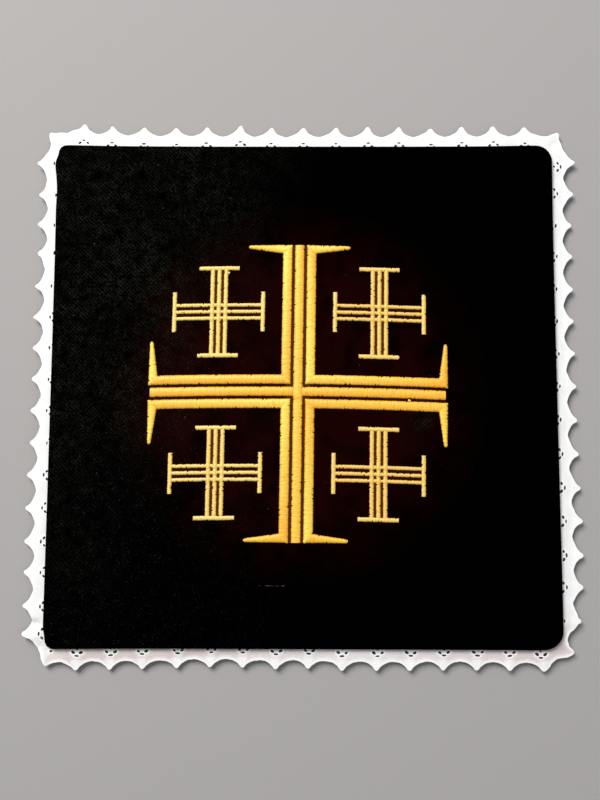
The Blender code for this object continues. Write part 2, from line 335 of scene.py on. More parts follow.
def cover_rings():
    outline = walked(corners_cut(board_edge, BOARD_CUTS), RING_STEP)
    normals = outward(outline)
    edge = [(x + nx * fullness((x, y)), y + ny * fullness((x, y)))
            for (x, y), (nx, ny) in zip(outline, normals)]

    def inset_ring(inset, level):
        return [(x, y, level) for x, y in moved(edge, normals, -inset)]

    arc = [math.pi / 2 * step / SHOULDER_STEPS for step in range(SHOULDER_STEPS + 1)]
    flat = moved(edge, normals, -SHOULDER)
    rings = [[(x * share, y * share, 0.0) for x, y in flat] for share in UNDER_SHARES]
    for angle in arc:
        rings.append(inset_ring(SHOULDER * (1 - math.sin(angle)), SHOULDER * (1 - math.cos(angle))))
    rings += [inset_ring(row["inset"], SEAM_LEVEL - row["away"]) for row in SEAM_PROFILE]
    rings += [inset_ring(row["inset"], SEAM_LEVEL + row["away"]) for row in reversed(SEAM_PROFILE)]
    for angle in reversed(arc):
        ring = moved(edge, normals, -SHOULDER * (1 - math.sin(angle)))
        fall = SHOULDER * (1 - math.cos(angle))
        rings.append([(x, y, cloth_level(x, y) - fall) for x, y in ring])
    for share in TOP_SHARES:
        rings.append([(x * share, y * share, cloth_level(x * share, y * share)) for x, y in flat])
    return rings


def skinned(name, rings, first, last):
    """A closed mesh through rings of equal length, capped by a fan at its first and last point."""
    count = len(rings[0])
    points = [point for ring in rings for point in ring] + [first, last]
    faces = []
    for number in range(len(rings) - 1):
        start, above = number * count, (number + 1) * count
        for here in range(count):
            after = (here + 1) % count
            faces.append((start + here, start + after, above + after, above + here))
    top = (len(rings) - 1) * count
    for here in range(count):
        after = (here + 1) % count
        faces.append((len(points) - 2, after, here))
        faces.append((len(points) - 1, top + here, top + after))
    return mesh_object(name, points, faces, {})


cover = skinned("pall_cover", cover_rings(), (0.0, 0.0, 0.0), (0.0, 0.0, cloth_level(0.0, 0.0)))
print("the cover has", len(cover.data.polygons), "faces")

# %% [markdown]
# The lace is a bought trim: cotton with a scalloped, overcast edge and a small flower of four
# eyelets under each point. Its outline is the solid's, drawn finer: the few long straight runs next
# to the corners sag inward like the other scallops, and then the corners are cut until it is round.

# %% Edge of the lace
EDGE_STEP = 0.36 * MM
ROUNDING_STEP = 0.62 * MM
RIM_CUTS = 2
LONG_RUN = 3.0 * MM
SAGS = table("share depth", (0.30, 0.060), (0.62, 0.115), (0.85, 0.085))


def sagging(loop):
    """The loop with its long runs bent inward, most of all towards the end that reaches further."""
    bent = []
    for point, after in sides_of(loop):
        bent.append(point)
        length = math.dist(point, after)
        if length < LONG_RUN:
            continue
        rising = max(map(abs, after)) > max(map(abs, point))
        inward = Vector((point[1] - after[1], after[0] - point[0])) / length
        for sag in SAGS if rising else reversed(SAGS):
            x, y = part_way(point, after, sag["share"] if rising else 1 - sag["share"])
            bent.append((x + inward.x * sag["depth"] * length, y + inward.y * sag["depth"] * length))
    return bent


smooth_rim = walked(corners_cut(walked(sagging(lace_edge), ROUNDING_STEP), RIM_CUTS), EDGE_STEP)
print("edge of the lace", round(loop_length(smooth_rim) / MM), "mm,", len(smooth_rim), "points")

# %% [markdown]
# The tips are the places where the edge reaches furthest out. Everything that repeats along the
# trim is counted from them, so each is kept as its side, its place along it and its reach.

# %% Tips of the scallops
TIP_WINDOW = 3.5 * MM
SIDE_END = 77 * MM
HALF_BOARD = 80 * MM


def side_frame(x, y):
    """(side number, place along the side, reach from the middle) of a point near the edge."""
    if abs(x) > abs(y):
        return (1, y, x) if x > 0 else (3, y, -x)
    return (2, x, y) if y > 0 else (0, x, -y)


def from_side(side, along, reach):
    """The (x, y) of a place along a side. Sides count from the bottom one, counterclockwise."""
    return ((along, -reach), (reach, along), (along, reach), (-reach, along))[side]


def find_tips(rim):
    placed = [side_frame(x, y) for x, y in rim]
    reach_round = round(TIP_WINDOW / EDGE_STEP)
    tips = []
    for number, (side, along, reach) in enumerate(placed):
        near = [placed[(number + shift) % len(placed)] for shift in range(-reach_round, reach_round + 1)]
        highest = max(near, key=lambda spot: spot[2] if spot[0] == side else 0.0)
        if abs(along) < SIDE_END and highest == placed[number]:
            if all(side != tip[0] or abs(along - tip[1]) > TIP_WINDOW for tip in tips):
                tips.append((side, along, reach))
    return tips


smooth_tips = find_tips(smooth_rim)
print(len(smooth_tips), "tips, by side", [sum(tip[0] == side for tip in smooth_tips) for side in range(4)])

# %% [markdown]
# Between two tips the edge isn't a plain arc, and the trim was fed a little unevenly into the seam,
# so some scallops stand further out and some tips lean. So every point of the edge is moved along
# its side and outward, by a rule of how far it is between its two tips and a table of the stretches
# that are uneven. The thread that binds the edge also makes it a little rough.

# %% Shape of the scallops
# Bottom, right, top, left: how much longer the tips are, how much fuller the edge is beside them and
# how much it is drawn in half way between, how much deeper the flowers stand, and how open the pull
# of the seam leaves the eyelets
SIDES = table(
    "stretch swell drawn deeper opening",
    (-0.30 * MM, -0.13 * MM, 0.0, 0.0, 1.00),
    (0.05 * MM, 0.04 * MM, 0.13 * MM, 0.65 * MM, 0.92),
    (0.25 * MM, 0.02 * MM, 0.10 * MM, 1.05 * MM, 0.80),
    (0.05 * MM, 0.04 * MM, 0.13 * MM, 0.90 * MM, 0.80),
)
# Stretches of a side, in mm, where the trim comes further out of the seam, or where its tips are
# longer or lean along the side
UNEVEN = table(
    "side from to out longer lean",
    (0, -40, -18, -0.32, 0.0, 0.0),
    (0, -12, 24, 0.0, 0.0, -0.30),
    (0, 8, 36, 0.32, 0.2, 0.0),
    (1, -73, -70, 0.0, -0.9, -0.3),
    (1, -62, -28, 0.42, 0.0, 0.0),
    (1, -54, -6, 0.0, 0.1, -0.65),
    (1, 12, 58, -0.38, 0.0, 0.0),
    (1, 73, 77, 0.0, 0.5, 0.0),
    (2, -64, -40, -0.20, -0.2, 0.0),
    (2, -54, -51, 0.0, -0.3, 0.0),
    (2, -22, 55, 0.0, 0.0, 0.52),
    (2, -22, -19, 0.15, 0.2, 0.0),
    (2, 19, 22, 0.0, 0.35, 0.2),
    (2, 40, 43, 0.0, -0.35, 0.0),
    (2, 50, 70, 0.0, 0.3, 0.0),
    (3, -48, -20, 0.40, 0.1, -0.3),
    (3, 22, 36, -0.15, 0.2, -0.6),
    (3, 43, 46, 0.0, 0.0, 0.8),
    (3, 44, 66, -0.55, -0.1, -0.3),
)
UNEVEN_FADE = 4.0 * MM
STRETCH_REACH = 2.4 * MM
LEAN_REACH = 3.4 * MM
ROUGHNESS = 0.09 * MM
ROUGH_LENGTH = 0.8 * MM
ROUGH_LAYER = 1.3
# Where the swelling and the drawing in begin and end, as shares of the way from a tip to half way
SWELL_FROM, SWELL_TO = 0.10, 0.92
DRAWN_FROM = 0.66


def unevenness(side, along):
    """(out, longer, lean) of the trim at a place along a side."""
    total = Vector((0.0, 0.0, 0.0))
    for row in UNEVEN:
        if row["side"] == side:
            start, end = row["from"] * MM, row["to"] * MM
            share = ease(start - UNEVEN_FADE, start, along) * (1 - ease(end, end + UNEVEN_FADE, along))
            total += Vector((row["out"], row["longer"], row["lean"])) * MM * share
    return total


def scallop_shift(side, along):
    """(shift along the side, shift outward) of the edge at a place along a side."""
    places = [tip[1] for tip in smooth_tips if tip[0] == side]
    below = [place for place in places if place <= along]
    above = [place for place in places if place > along]
    gap = min(abs(place - along) for place in places)
    out, longer, lean = unevenness(side, along)
    habit = SIDES[side]
    shift = out + (habit["stretch"] + longer) * (1 - ease(0.0, STRETCH_REACH, gap))
    if below and above:
        share = (along - max(below)) / (min(above) - max(below))
        middle = 1 - abs(2 * share - 1)
        shift += habit["swell"] * math.sin(math.pi * ease(SWELL_FROM, SWELL_TO, middle))
        shift -= habit["drawn"] * ease(DRAWN_FROM, 1.0, middle)
    return lean * (1 - ease(0.0, LEAN_REACH, gap)), shift


def shaped_rim():
    shaped = []
    for x, y in smooth_rim:
        side, along, reach = side_frame(x, y)
        aside, further = scallop_shift(side, along)
        rough = ROUGHNESS * soft_noise(x, y, ROUGH_LENGTH, ROUGH_LAYER)
        shaped.append(from_side(side, along + aside, reach + further + rough))
    return shaped


def shaped_tip(side, along, reach):
    aside, further = scallop_shift(side, along)
    return side, along + aside, reach + further


lace_rim = shaped_rim()
tips = [shaped_tip(*tip) for tip in smooth_tips]
print("shaped edge", round(loop_length(lace_rim) / MM), "mm")

# %% [markdown]
# Many rules below ask for the nearest point of an outline. A tree of points answers that at once,
# and with the outline's normals it also tells how far a place lies beyond the board.

# %% Nearest points
ROOT_INSET = 0.95 * MM
ROOT_STEP = 0.8 * MM


def tree_of(loops):
    tree = KDTree(sum(len(loop) for loop in loops))
    number = 0
    for loop in loops:
        for x, y in loop:
            tree.insert((x, y, 0.0), number)
            number += 1
    tree.balance()
    return tree


def nearest(tree, point):
    """(number, distance) of the tree's point that is nearest in plan."""
    _, number, distance = tree.find((point[0], point[1], 0.0))
    return number, distance


board_line = walked(corners_cut(board_edge, BOARD_CUTS), ROOT_STEP)
board_normals = outward(board_line)
board_tree = tree_of([board_line])


def beyond_board(x, y):
    """Distance outside the board's outline, negative inside it."""
    number, _ = nearest(board_tree, (x, y))
    (edge_x, edge_y), (nx, ny) = board_line[number], board_normals[number]
    return (x - edge_x) * nx + (y - edge_y) * ny


print("board edge has", len(board_line), "points to measure from")

# %% [markdown]
# Each flower has four eyelets: a flat one nearest the tip, two slanted ones beside and behind it,
# and a fourth at the board's edge. They are real holes in the mesh, so light and shadow fall
# through them. A short table says where each stands from the tip, how long and wide it is and how
# it slants. The machine that made them wasn't exact, so each is shifted a little, from a fixed seed.
# Eyelets that would lie hidden in the seam are left out.

# %% Eyelets
EYELETS = table(
    "along inward length width slant",
    (0.0 * MM, 4.45 * MM, 1.55 * MM, 0.70 * MM, 0),
    (-1.20 * MM, 5.45 * MM, 1.40 * MM, 0.95 * MM, 33),
    (1.30 * MM, 5.42 * MM, 1.30 * MM, 0.92 * MM, -30),
    (0.05 * MM, 6.55 * MM, 0.90 * MM, 0.80 * MM, 0),
)
EYELET_POINTS = 16
HIDDEN = 0.70 * MM
EYELET_SHIFT = 0.11 * MM
EYELET_TURN = 8
EYELET_SIZES = (0.88, 1.12)
EYELET_GAP = 0.20 * MM
EYELET_SHRINK = 0.9
EYELET_SEED = 11
# Flowers that don't stand straight behind their tips, by the place of the tip along its side
MOVED_FLOWERS = table(
    "side from to along outward",
    (0, -80 * MM, 70 * MM, 0.25 * MM, 0.0),
    (0, 70 * MM, 80 * MM, -0.90 * MM, 0.30 * MM),
    (1, 72 * MM, 80 * MM, -1.45 * MM, 0.50 * MM),
)
# The corner has one eyelet alone
CORNER_EYELET = {"along": -77.7 * MM, "reach": 81.2 * MM, "length": 0.95 * MM, "width": 0.80 * MM}


def eyelet_loop(row, side, along, reach, turn, size):
    """The outline of one eyelet: an ellipse about a place on a side."""
    loop = []
    for number in range(EYELET_POINTS):
        angle = 2 * math.pi * number / EYELET_POINTS
        long_way = size * row["length"] / 2 * math.cos(angle)
        short_way = size * row["width"] / 2 * math.sin(angle)
        loop.append(from_side(side, along + long_way * math.cos(turn) - short_way * math.sin(turn),
                              reach + long_way * math.sin(turn) + short_way * math.cos(turn)))
    return counterclockwise(loop)


def eyelet_loops():
    chance = random.Random(EYELET_SEED)
    corner = CORNER_EYELET
    loops = [eyelet_loop(corner, 0, corner["along"], corner["reach"], 0.0, 1.0)]
    for side, along, reach in tips:
        reach -= SIDES[side]["deeper"]
        for row in MOVED_FLOWERS:
            if side == row["side"] and row["from"] < along < row["to"]:
                along, reach = along + row["along"], reach + row["outward"]
                break
        for row in EYELETS:
            middle_along = along + row["along"] + chance.uniform(-EYELET_SHIFT, EYELET_SHIFT)
            middle_reach = reach - row["inward"] + chance.uniform(-EYELET_SHIFT, EYELET_SHIFT)
            turn = math.radians(row["slant"] + chance.uniform(-EYELET_TURN, EYELET_TURN))
            size = SIDES[side]["opening"] * chance.uniform(*EYELET_SIZES)
            loop = eyelet_loop(row, side, middle_along, middle_reach, turn, size)
            while any(math.dist(here, there) < EYELET_GAP
                      for other in loops[-3:] for here in loop for there in other):
                size *= EYELET_SHRINK
                loop = eyelet_loop(row, side, middle_along, middle_reach, turn, size)
            if min(beyond_board(x, y) for x, y in loop) > -HIDDEN:
                loops.append(loop)
    return loops


eyelets = eyelet_loops()
print(len(eyelets), "eyelets")

# %% [markdown]
# The lace's flat plan has to be filled with even triangles that respect the outline and every hole.
# Blender's constrained triangulation does that: it gets the outlines as fixed edges and a cloud of
# loose points. The points stand closest near the stitched edges, where the relief is, and never
# nearer to each other than a set gap, which a small grid of cells checks quickly.

# %% Lace plan
EDGE_OFFSETS = (0.16 * MM, 0.38 * MM, 0.66 * MM, 0.98 * MM)
EYELET_OFFSETS = (0.14 * MM, 0.34 * MM)
CLOUD_STEP = 0.55 * MM
TIGHT_GAP = 0.13 * MM
LOOSE_GAP = 0.40 * MM
ROOT_GAP = 0.30 * MM
RIM_RUN_STEP = 0.10 * MM
EYELET_RUN_STEP = 0.08 * MM
# Points beside the edge keep at least this share of their distance from it to each other
EDGE_SPREAD = 0.6
# The cloud of points begins this far in from the board's edge
CLOUD_INSET = 2 * MM
CDT_INSIDE = 1
CDT_SLACK = 1e-7


class SpacedPoints:
    """Points that keep a gap between each other, found quickly by the cell that they lie in."""

    def __init__(self, cell):
        self.cell = cell
        self.cells = {}
        self.points = []

    def key(self, point):
        return (math.floor(point[0] / self.cell), math.floor(point[1] / self.cell))

    def free(self, point, gap):
        column, row = self.key(point)
        for near_column in (column - 1, column, column + 1):
            for near_row in (row - 1, row, row + 1):
                for other in self.cells.get((near_column, near_row), ()):
                    if math.dist(point, other) < gap:
                        return False
        return True

    def add(self, point, gap=0.0):
        if gap and not self.free(point, gap):
            return
        self.cells.setdefault(self.key(point), []).append(point)
        self.points.append(point)


rim_tree = tree_of([walked(lace_rim, RIM_RUN_STEP)])
eyelet_tree = tree_of([walked(loop, EYELET_RUN_STEP) for loop in eyelets])
eyelet_middles = tree_of([[tuple(sum(values) / EYELET_POINTS for values in zip(*loop))] for loop in eyelets])


def in_eyelet(x, y):
    """Whether a place lies in one of the two nearest holes, left of every side of its outline."""
    for _, number, _ in eyelet_middles.find_n((x, y, 0.0), 2):
        loop = eyelets[number]
        if all((x1 - x0) * (y - y0) > (y1 - y0) * (x - x0) for (x0, y0), (x1, y1) in sides_of(loop)):
            return True
    return False


def lace_plan():
    """(points, triangles) of the lace laid flat, with its eyelets as holes."""
    cloud = SpacedPoints(LOOSE_GAP)
    root = moved(board_line, board_normals, -ROOT_INSET)
    edges, owner = [], {}
    for loop_number, loop in enumerate([lace_rim, root] + eyelets):
        start = len(cloud.points)
        for point in loop:
            cloud.add(point)
        numbers = list(range(start, len(cloud.points)))
        edges += zip(numbers, numbers[1:] + numbers[:1])
        if loop is not lace_rim:
            owner.update((number, loop_number) for number in numbers)

    def add_clear(places, gap):
        for x, y in places:
            if beyond_board(x, y) > ROOT_GAP - ROOT_INSET and not in_eyelet(x, y):
                cloud.add((x, y), gap)

    for offset in EDGE_OFFSETS:
        add_clear(moved(lace_rim, outward(lace_rim), -offset), max(TIGHT_GAP, EDGE_SPREAD * offset))
    for offset in EYELET_OFFSETS:
        for loop in eyelets:
            add_clear(moved(loop, outward(loop), offset), TIGHT_GAP)
    columns = math.ceil(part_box("lace_edging")[1].y / CLOUD_STEP) + 1
    for row in range(-columns, columns + 1):
        places = [((column + 0.5 * (row % 2)) * CLOUD_STEP, row * CLOUD_STEP)
                  for column in range(-columns, columns + 1)]
        add_clear([place for place in places if max(map(abs, place)) > HALF_BOARD - CLOUD_INSET],
                  LOOSE_GAP)
    points, _, triangles, sources, _, _ = delaunay_2d_cdt(
        [Vector(point) for point in cloud.points], edges, [], CDT_INSIDE, CDT_SLACK)

    def in_hole(triangle):
        owners = [{owner.get(source) for source in sources[corner]} for corner in triangle]
        return bool(set.intersection(*owners) - {None})

    kept = [triangle for triangle in triangles if not in_hole(triangle)]
    used = sorted({corner for triangle in kept for corner in triangle})
    number = {old: new for new, old in enumerate(used)}
    return ([tuple(points[old]) for old in used],
            [tuple(number[corner] for corner in triangle) for triangle in kept])


plan_points, plan_faces = lace_plan()
print("lace plan:", len(plan_points), "points,", len(plan_faces), "triangles")

# %% [markdown]
# The relief comes next. Thread lies thick along the scalloped edge, round each eyelet and in a wedge
# under each tip, and the cotton between is thin. One mask says how far a place is overcast: it
# thickens the mesh here, and later it also tells the material where the thread lies.

# %% Lace relief
GROUND_HALF = 0.11 * MM
STITCHED_HALF = 0.10 * MM
RIM_BAND = 0.66 * MM
EYELET_BAND = 0.28 * MM
BAND_FADE = 0.24 * MM
WEDGE_FADE = 0.75 * MM
WEDGE_LENGTH = 3.9 * MM
WEDGE_HALF = 0.45 * MM
WEDGE_SLOPE = 0.40
WEDGE_COVER = 0.9


def tip_offset(x, y):
    """(distance along the side, distance inward) from the nearest tip of the same side."""
    side, along, reach = side_frame(x, y)
    own = [tip for tip in tips if tip[0] == side]
    tip = min(own, key=lambda spot: abs(spot[1] - along))
    return along - tip[1], tip[2] - reach


def overcast(x, y):
    """How far the lace is covered in thread: 1 on the rim, round the eyelets and in the wedges."""
    rim = 1 - ease(RIM_BAND - BAND_FADE, RIM_BAND + BAND_FADE, nearest(rim_tree, (x, y))[1])
    ring = 1 - ease(EYELET_BAND - BAND_FADE / 2, EYELET_BAND + BAND_FADE,
                    nearest(eyelet_tree, (x, y))[1])
    across, inward = tip_offset(x, y)
    beside = abs(across) - WEDGE_HALF - WEDGE_SLOPE * max(0.0, min(inward, WEDGE_LENGTH))
    wedge_end = ease(WEDGE_LENGTH - 2 * WEDGE_FADE, WEDGE_LENGTH, inward)
    wedge = (1 - ease(-WEDGE_FADE, WEDGE_FADE, beside)) * (1 - wedge_end)
    return max(rim, ring, WEDGE_COVER * wedge)


def thread_run(x, y):
    """Distance along the nearest overcast edge, which the stitches are counted by."""
    rim_number, rim_distance = nearest(rim_tree, (x, y))
    eyelet_number, eyelet_distance = nearest(eyelet_tree, (x, y))
    if rim_distance < eyelet_distance + RIM_BAND / 2:
        return rim_number * RIM_RUN_STEP
    return eyelet_number * EYELET_RUN_STEP


print("under a tip the lace is covered", [round(overcast(*from_side(*tip)), 2) for tip in tips[:3]])

# %% [markdown]
# The trim leaves the seam level and hangs a little towards its points. It waves between them, each
# point curls its own way, and where the trim was joined or eased round a corner it has creases.
# These are troughs and ridges along a line, each with its own depth and width, placed one by one.

# %% Lace hang
DROOP = 0.30 * MM
DROOP_REACH = 7.0 * MM
WAVE_HEIGHT = 0.36 * MM
WAVE_LENGTH = 8.5 * MM
WAVE_LAYER = 8.1
LOOSE_REACH = 3.5 * MM
DROOP_POWER = 1.5
CURL_REACH = 4.2 * MM
CURL_LOW = -0.24 * MM
CURL_HIGH = 0.34 * MM
CURL_SEED = 23
LOWEST_MIDDLE = 0.42 * MM
# How far a crease reaches past its line, how wide it counts, and where it fades at its ends
CREASE_PAST = 2 * MM
CREASE_WIDTHS = 4
CREASE_START = (-0.4 * MM, 1.6 * MM)
CREASE_END = (-1.2 * MM, 1.6 * MM)
# Places in mm as (x, y); a negative depth is a trough
CREASES = table(
    "start end depth width",
    ((-80.0, -73.3), (-88.2, -72.3), -1.00, 1.25),
    ((-80.0, -76.6), (-87.0, -77.0), 0.60, 1.50),
    ((-79.8, -79.0), (-85.5, -82.6), -0.36, 0.80),
    ((-77.5, -80.5), (-81.0, -86.5), 0.30, 1.20),
    ((-79.0, 79.5), (-84.8, 84.6), -0.34, 0.95),
    ((-74.0, 80.6), (-76.2, 87.0), 0.24, 1.40),
    ((-64.8, 80.6), (-61.6, 87.2), -0.30, 0.70),
    ((79.2, 79.4), (84.6, 83.4), -0.28, 1.00),
    ((80.2, 68.0), (86.4, 66.2), 0.22, 1.50),
    ((79.6, -79.2), (85.2, -83.8), -0.34, 0.90),
    ((76.4, -80.4), (78.2, -86.4), 0.28, 1.30),
    ((-80.2, 24.0), (-86.6, 22.2), -0.20, 0.90),
    ((38.0, -80.4), (40.4, -85.6), -0.18, 0.90),
)

curl_chance = random.Random(CURL_SEED)
tip_curls = {tip: curl_chance.uniform(CURL_LOW, CURL_HIGH) for tip in tips}
tip_tree = tree_of([[from_side(*tip)] for tip in tips])


def crease_lift(x, y):
    lift = 0.0
    for crease in CREASES:
        x0, y0 = (value * MM for value in crease["start"])
        x1, y1 = (value * MM for value in crease["end"])
        length = math.dist((x0, y0), (x1, y1))
        along = ((x - x0) * (x1 - x0) + (y - y0) * (y1 - y0)) / length
        aside = ((x - x0) * (y1 - y0) - (y - y0) * (x1 - x0)) / length
        width = crease["width"] * MM
        if abs(aside) < CREASE_WIDTHS * width and -CREASE_PAST < along < length + CREASE_PAST:
            fade = ease(length + CREASE_END[0], length + CREASE_END[1], along)
            ends = ease(*CREASE_START, along) * (1 - fade)
            lift += crease["depth"] * MM * ends * math.exp(-(aside / width) ** 2)
    return lift


def lace_level(x, y):
    """The level of the middle of the lace."""
    beyond = max(0.0, beyond_board(x, y))
    loose = ease(0.0, LOOSE_REACH, beyond)
    wave = WAVE_HEIGHT * loose * soft_noise(x, y, WAVE_LENGTH, WAVE_LAYER)
    number, distance = nearest(tip_tree, (x, y))
    curl = tip_curls[tips[number]] * (1 - ease(0.0, CURL_REACH, distance))
    hang = DROOP * (beyond / DROOP_REACH) ** DROOP_POWER
    level = SEAM_LEVEL - hang + wave + curl * loose + crease_lift(x, y) * loose
    return max(level, LOWEST_MIDDLE)


print("the tips hang at", sorted(round(lace_level(*from_side(*tip)) / MM, 1) for tip in tips)[::12], "mm")

# %% [markdown]
# Now the flat plan becomes cloth: every point is lifted to the top and lowered to the underside,
# and a wall with one bulging ring closes each border. A border is an edge that only one triangle
# uses, so no list of loops is needed.

# %% The lace
RIM_BULGE = 0.10 * MM
EYELET_BULGE = 0.04 * MM
ON_RIM = 0.05 * MM


def build_lace():
    count = len(plan_points)
    middles = [lace_level(x, y) for x, y in plan_points]
    cover_share = [overcast(x, y) for x, y in plan_points]
    runs = [thread_run(x, y) for x, y in plan_points]
    halves = [GROUND_HALF + STITCHED_HALF * share for share in cover_share]
    points = [(x, y, middle + half * face_sign) for face_sign in (1, -1)
              for (x, y), middle, half in zip(plan_points, middles, halves)]
    faces = plan_faces + [tuple(count + corner for corner in reversed(face)) for face in plan_faces]
    directed = {(face[turn], face[(turn + 1) % 3]) for face in plan_faces for turn in range(3)}
    border = sorted(edge for edge in directed if edge[::-1] not in directed)
    leaning = {}
    for start, end in border:
        (x0, y0), (x1, y1) = plan_points[start], plan_points[end]
        for corner in (start, end):
            leaning.setdefault(corner, Vector((0.0, 0.0)))
            leaning[corner] += Vector((y1 - y0, x0 - x1)).normalized()
    tones = {"overcast": cover_share * 2, "run": runs * 2}
    ring = {}
    for corner, lean in leaning.items():
        x, y = plan_points[corner]
        bulge = RIM_BULGE if nearest(rim_tree, (x, y))[1] < ON_RIM else EYELET_BULGE
        away = lean.normalized() * bulge
        ring[corner] = len(points)
        points.append((x + away.x, y + away.y, middles[corner]))
        tones["overcast"].append(cover_share[corner])
        tones["run"].append(runs[corner])
    for start, end in border:
        faces.append((end, start, ring[start], ring[end]))
        faces.append((ring[end], ring[start], count + start, count + end))
    return mesh_object("lace_trim", points, faces, tones)


lace = build_lace()
print("the lace has", len(lace.data.polygons), "faces")

# %% [markdown]
# The cross is satin stitch: thread laid to and fro across a narrow bar, so close that it covers the
# cloth and stands up like a cord. It could be a bent plane with a bump, but the thread ends make
# the edge that the eye sees. So each stitch is modelled: three rings of points carry it over the
# bar, two on its crown and one in the valley before the next. A bar is a list of stations: how far
# along it, and the low and high side of the bar there, so that mitred corners and the tapered
# spurs come from the same rule. Thread shines along a line that depends on how the stitches slant,
# so each bar also has a shine at its near and its far end, which the material turns into paler
# yellow.

# %% Satin stitch
STITCH_PITCH = 0.40 * MM
STITCH_HEIGHT = 0.72 * MM
SMALL_HEIGHT = 0.50 * MM
DOME_POINTS = 11
DOME_FULLNESS = 0.78
CREST_OFFSETS = (-0.24, 0.24)
VALLEY_DROP = 0.08
VALLEY_SHADE = 0.34
VALLEY_LEAST = 0.60
# A valley is drawn in by this much at each end, or by one part in so many of the half bar
VALLEY_INSET, VALLEY_PARTS = 0.06 * MM, 3
END_JITTER = 0.060 * MM
# How far a stitch may sit from its even place, as a share of the distance between stitches
PLACE_JITTER = 0.11
SHORT_STITCH_ODDS = 0.055
SHORT_STITCH = 0.22 * MM
SUNK = 0.05 * MM
SHORTEST = 0.25 * MM
# A stitch is never shortened on a bar narrower than this many such lengths, and it never stands
# higher than this share of its width
SHORT_ONLY_PAST = 4
TALLEST = 0.5
# The valleys between stitches are mostly shallow: a high power makes deep ones rare
VALLEY_RARITY = 3
KNOT_LONG = 0.45 * MM
KNOT_HALF = 0.36 * MM
KNOT_RAISE = 0.28 * MM
TONE_SPREAD = 0.05
HEIGHT_SPREAD = (0.97, 1.03)
# How much painted shade the thread gets at the foot of a bar, where it goes down into the cloth: the
# share of the groove shade's colour at the outermost point of a ring and at the next ones inward
FOOT_SHADE = (1.0, 0.56, 0.16)
# The whole cross lies on the board a little off the middle, leaning and bowed by this much
LAID_X = -1.65 * MM
LAID_Y = -0.45 * MM
LAID_LEAN = 0.0115
LAID_DROP = 0.0082
LAID_ARCH = 0.38


def laid(across, up):
    """Where a place of the cross lies on the board."""
    return (LAID_X + across + LAID_LEAN * up,
            LAID_Y + up - LAID_DROP * across - LAID_ARCH * across ** 2)


def between(stations, place):
    """(low, high) of a bar at a place along it."""
    for (s0, low0, high0), (s1, low1, high1) in zip(stations, stations[1:]):
        if place <= s1:
            share = min(1.0, max(0.0, (place - s0) / (s1 - s0)))
            return low0 + (low1 - low0) * share, high0 + (high1 - high0) * share
    return stations[-1][1:]


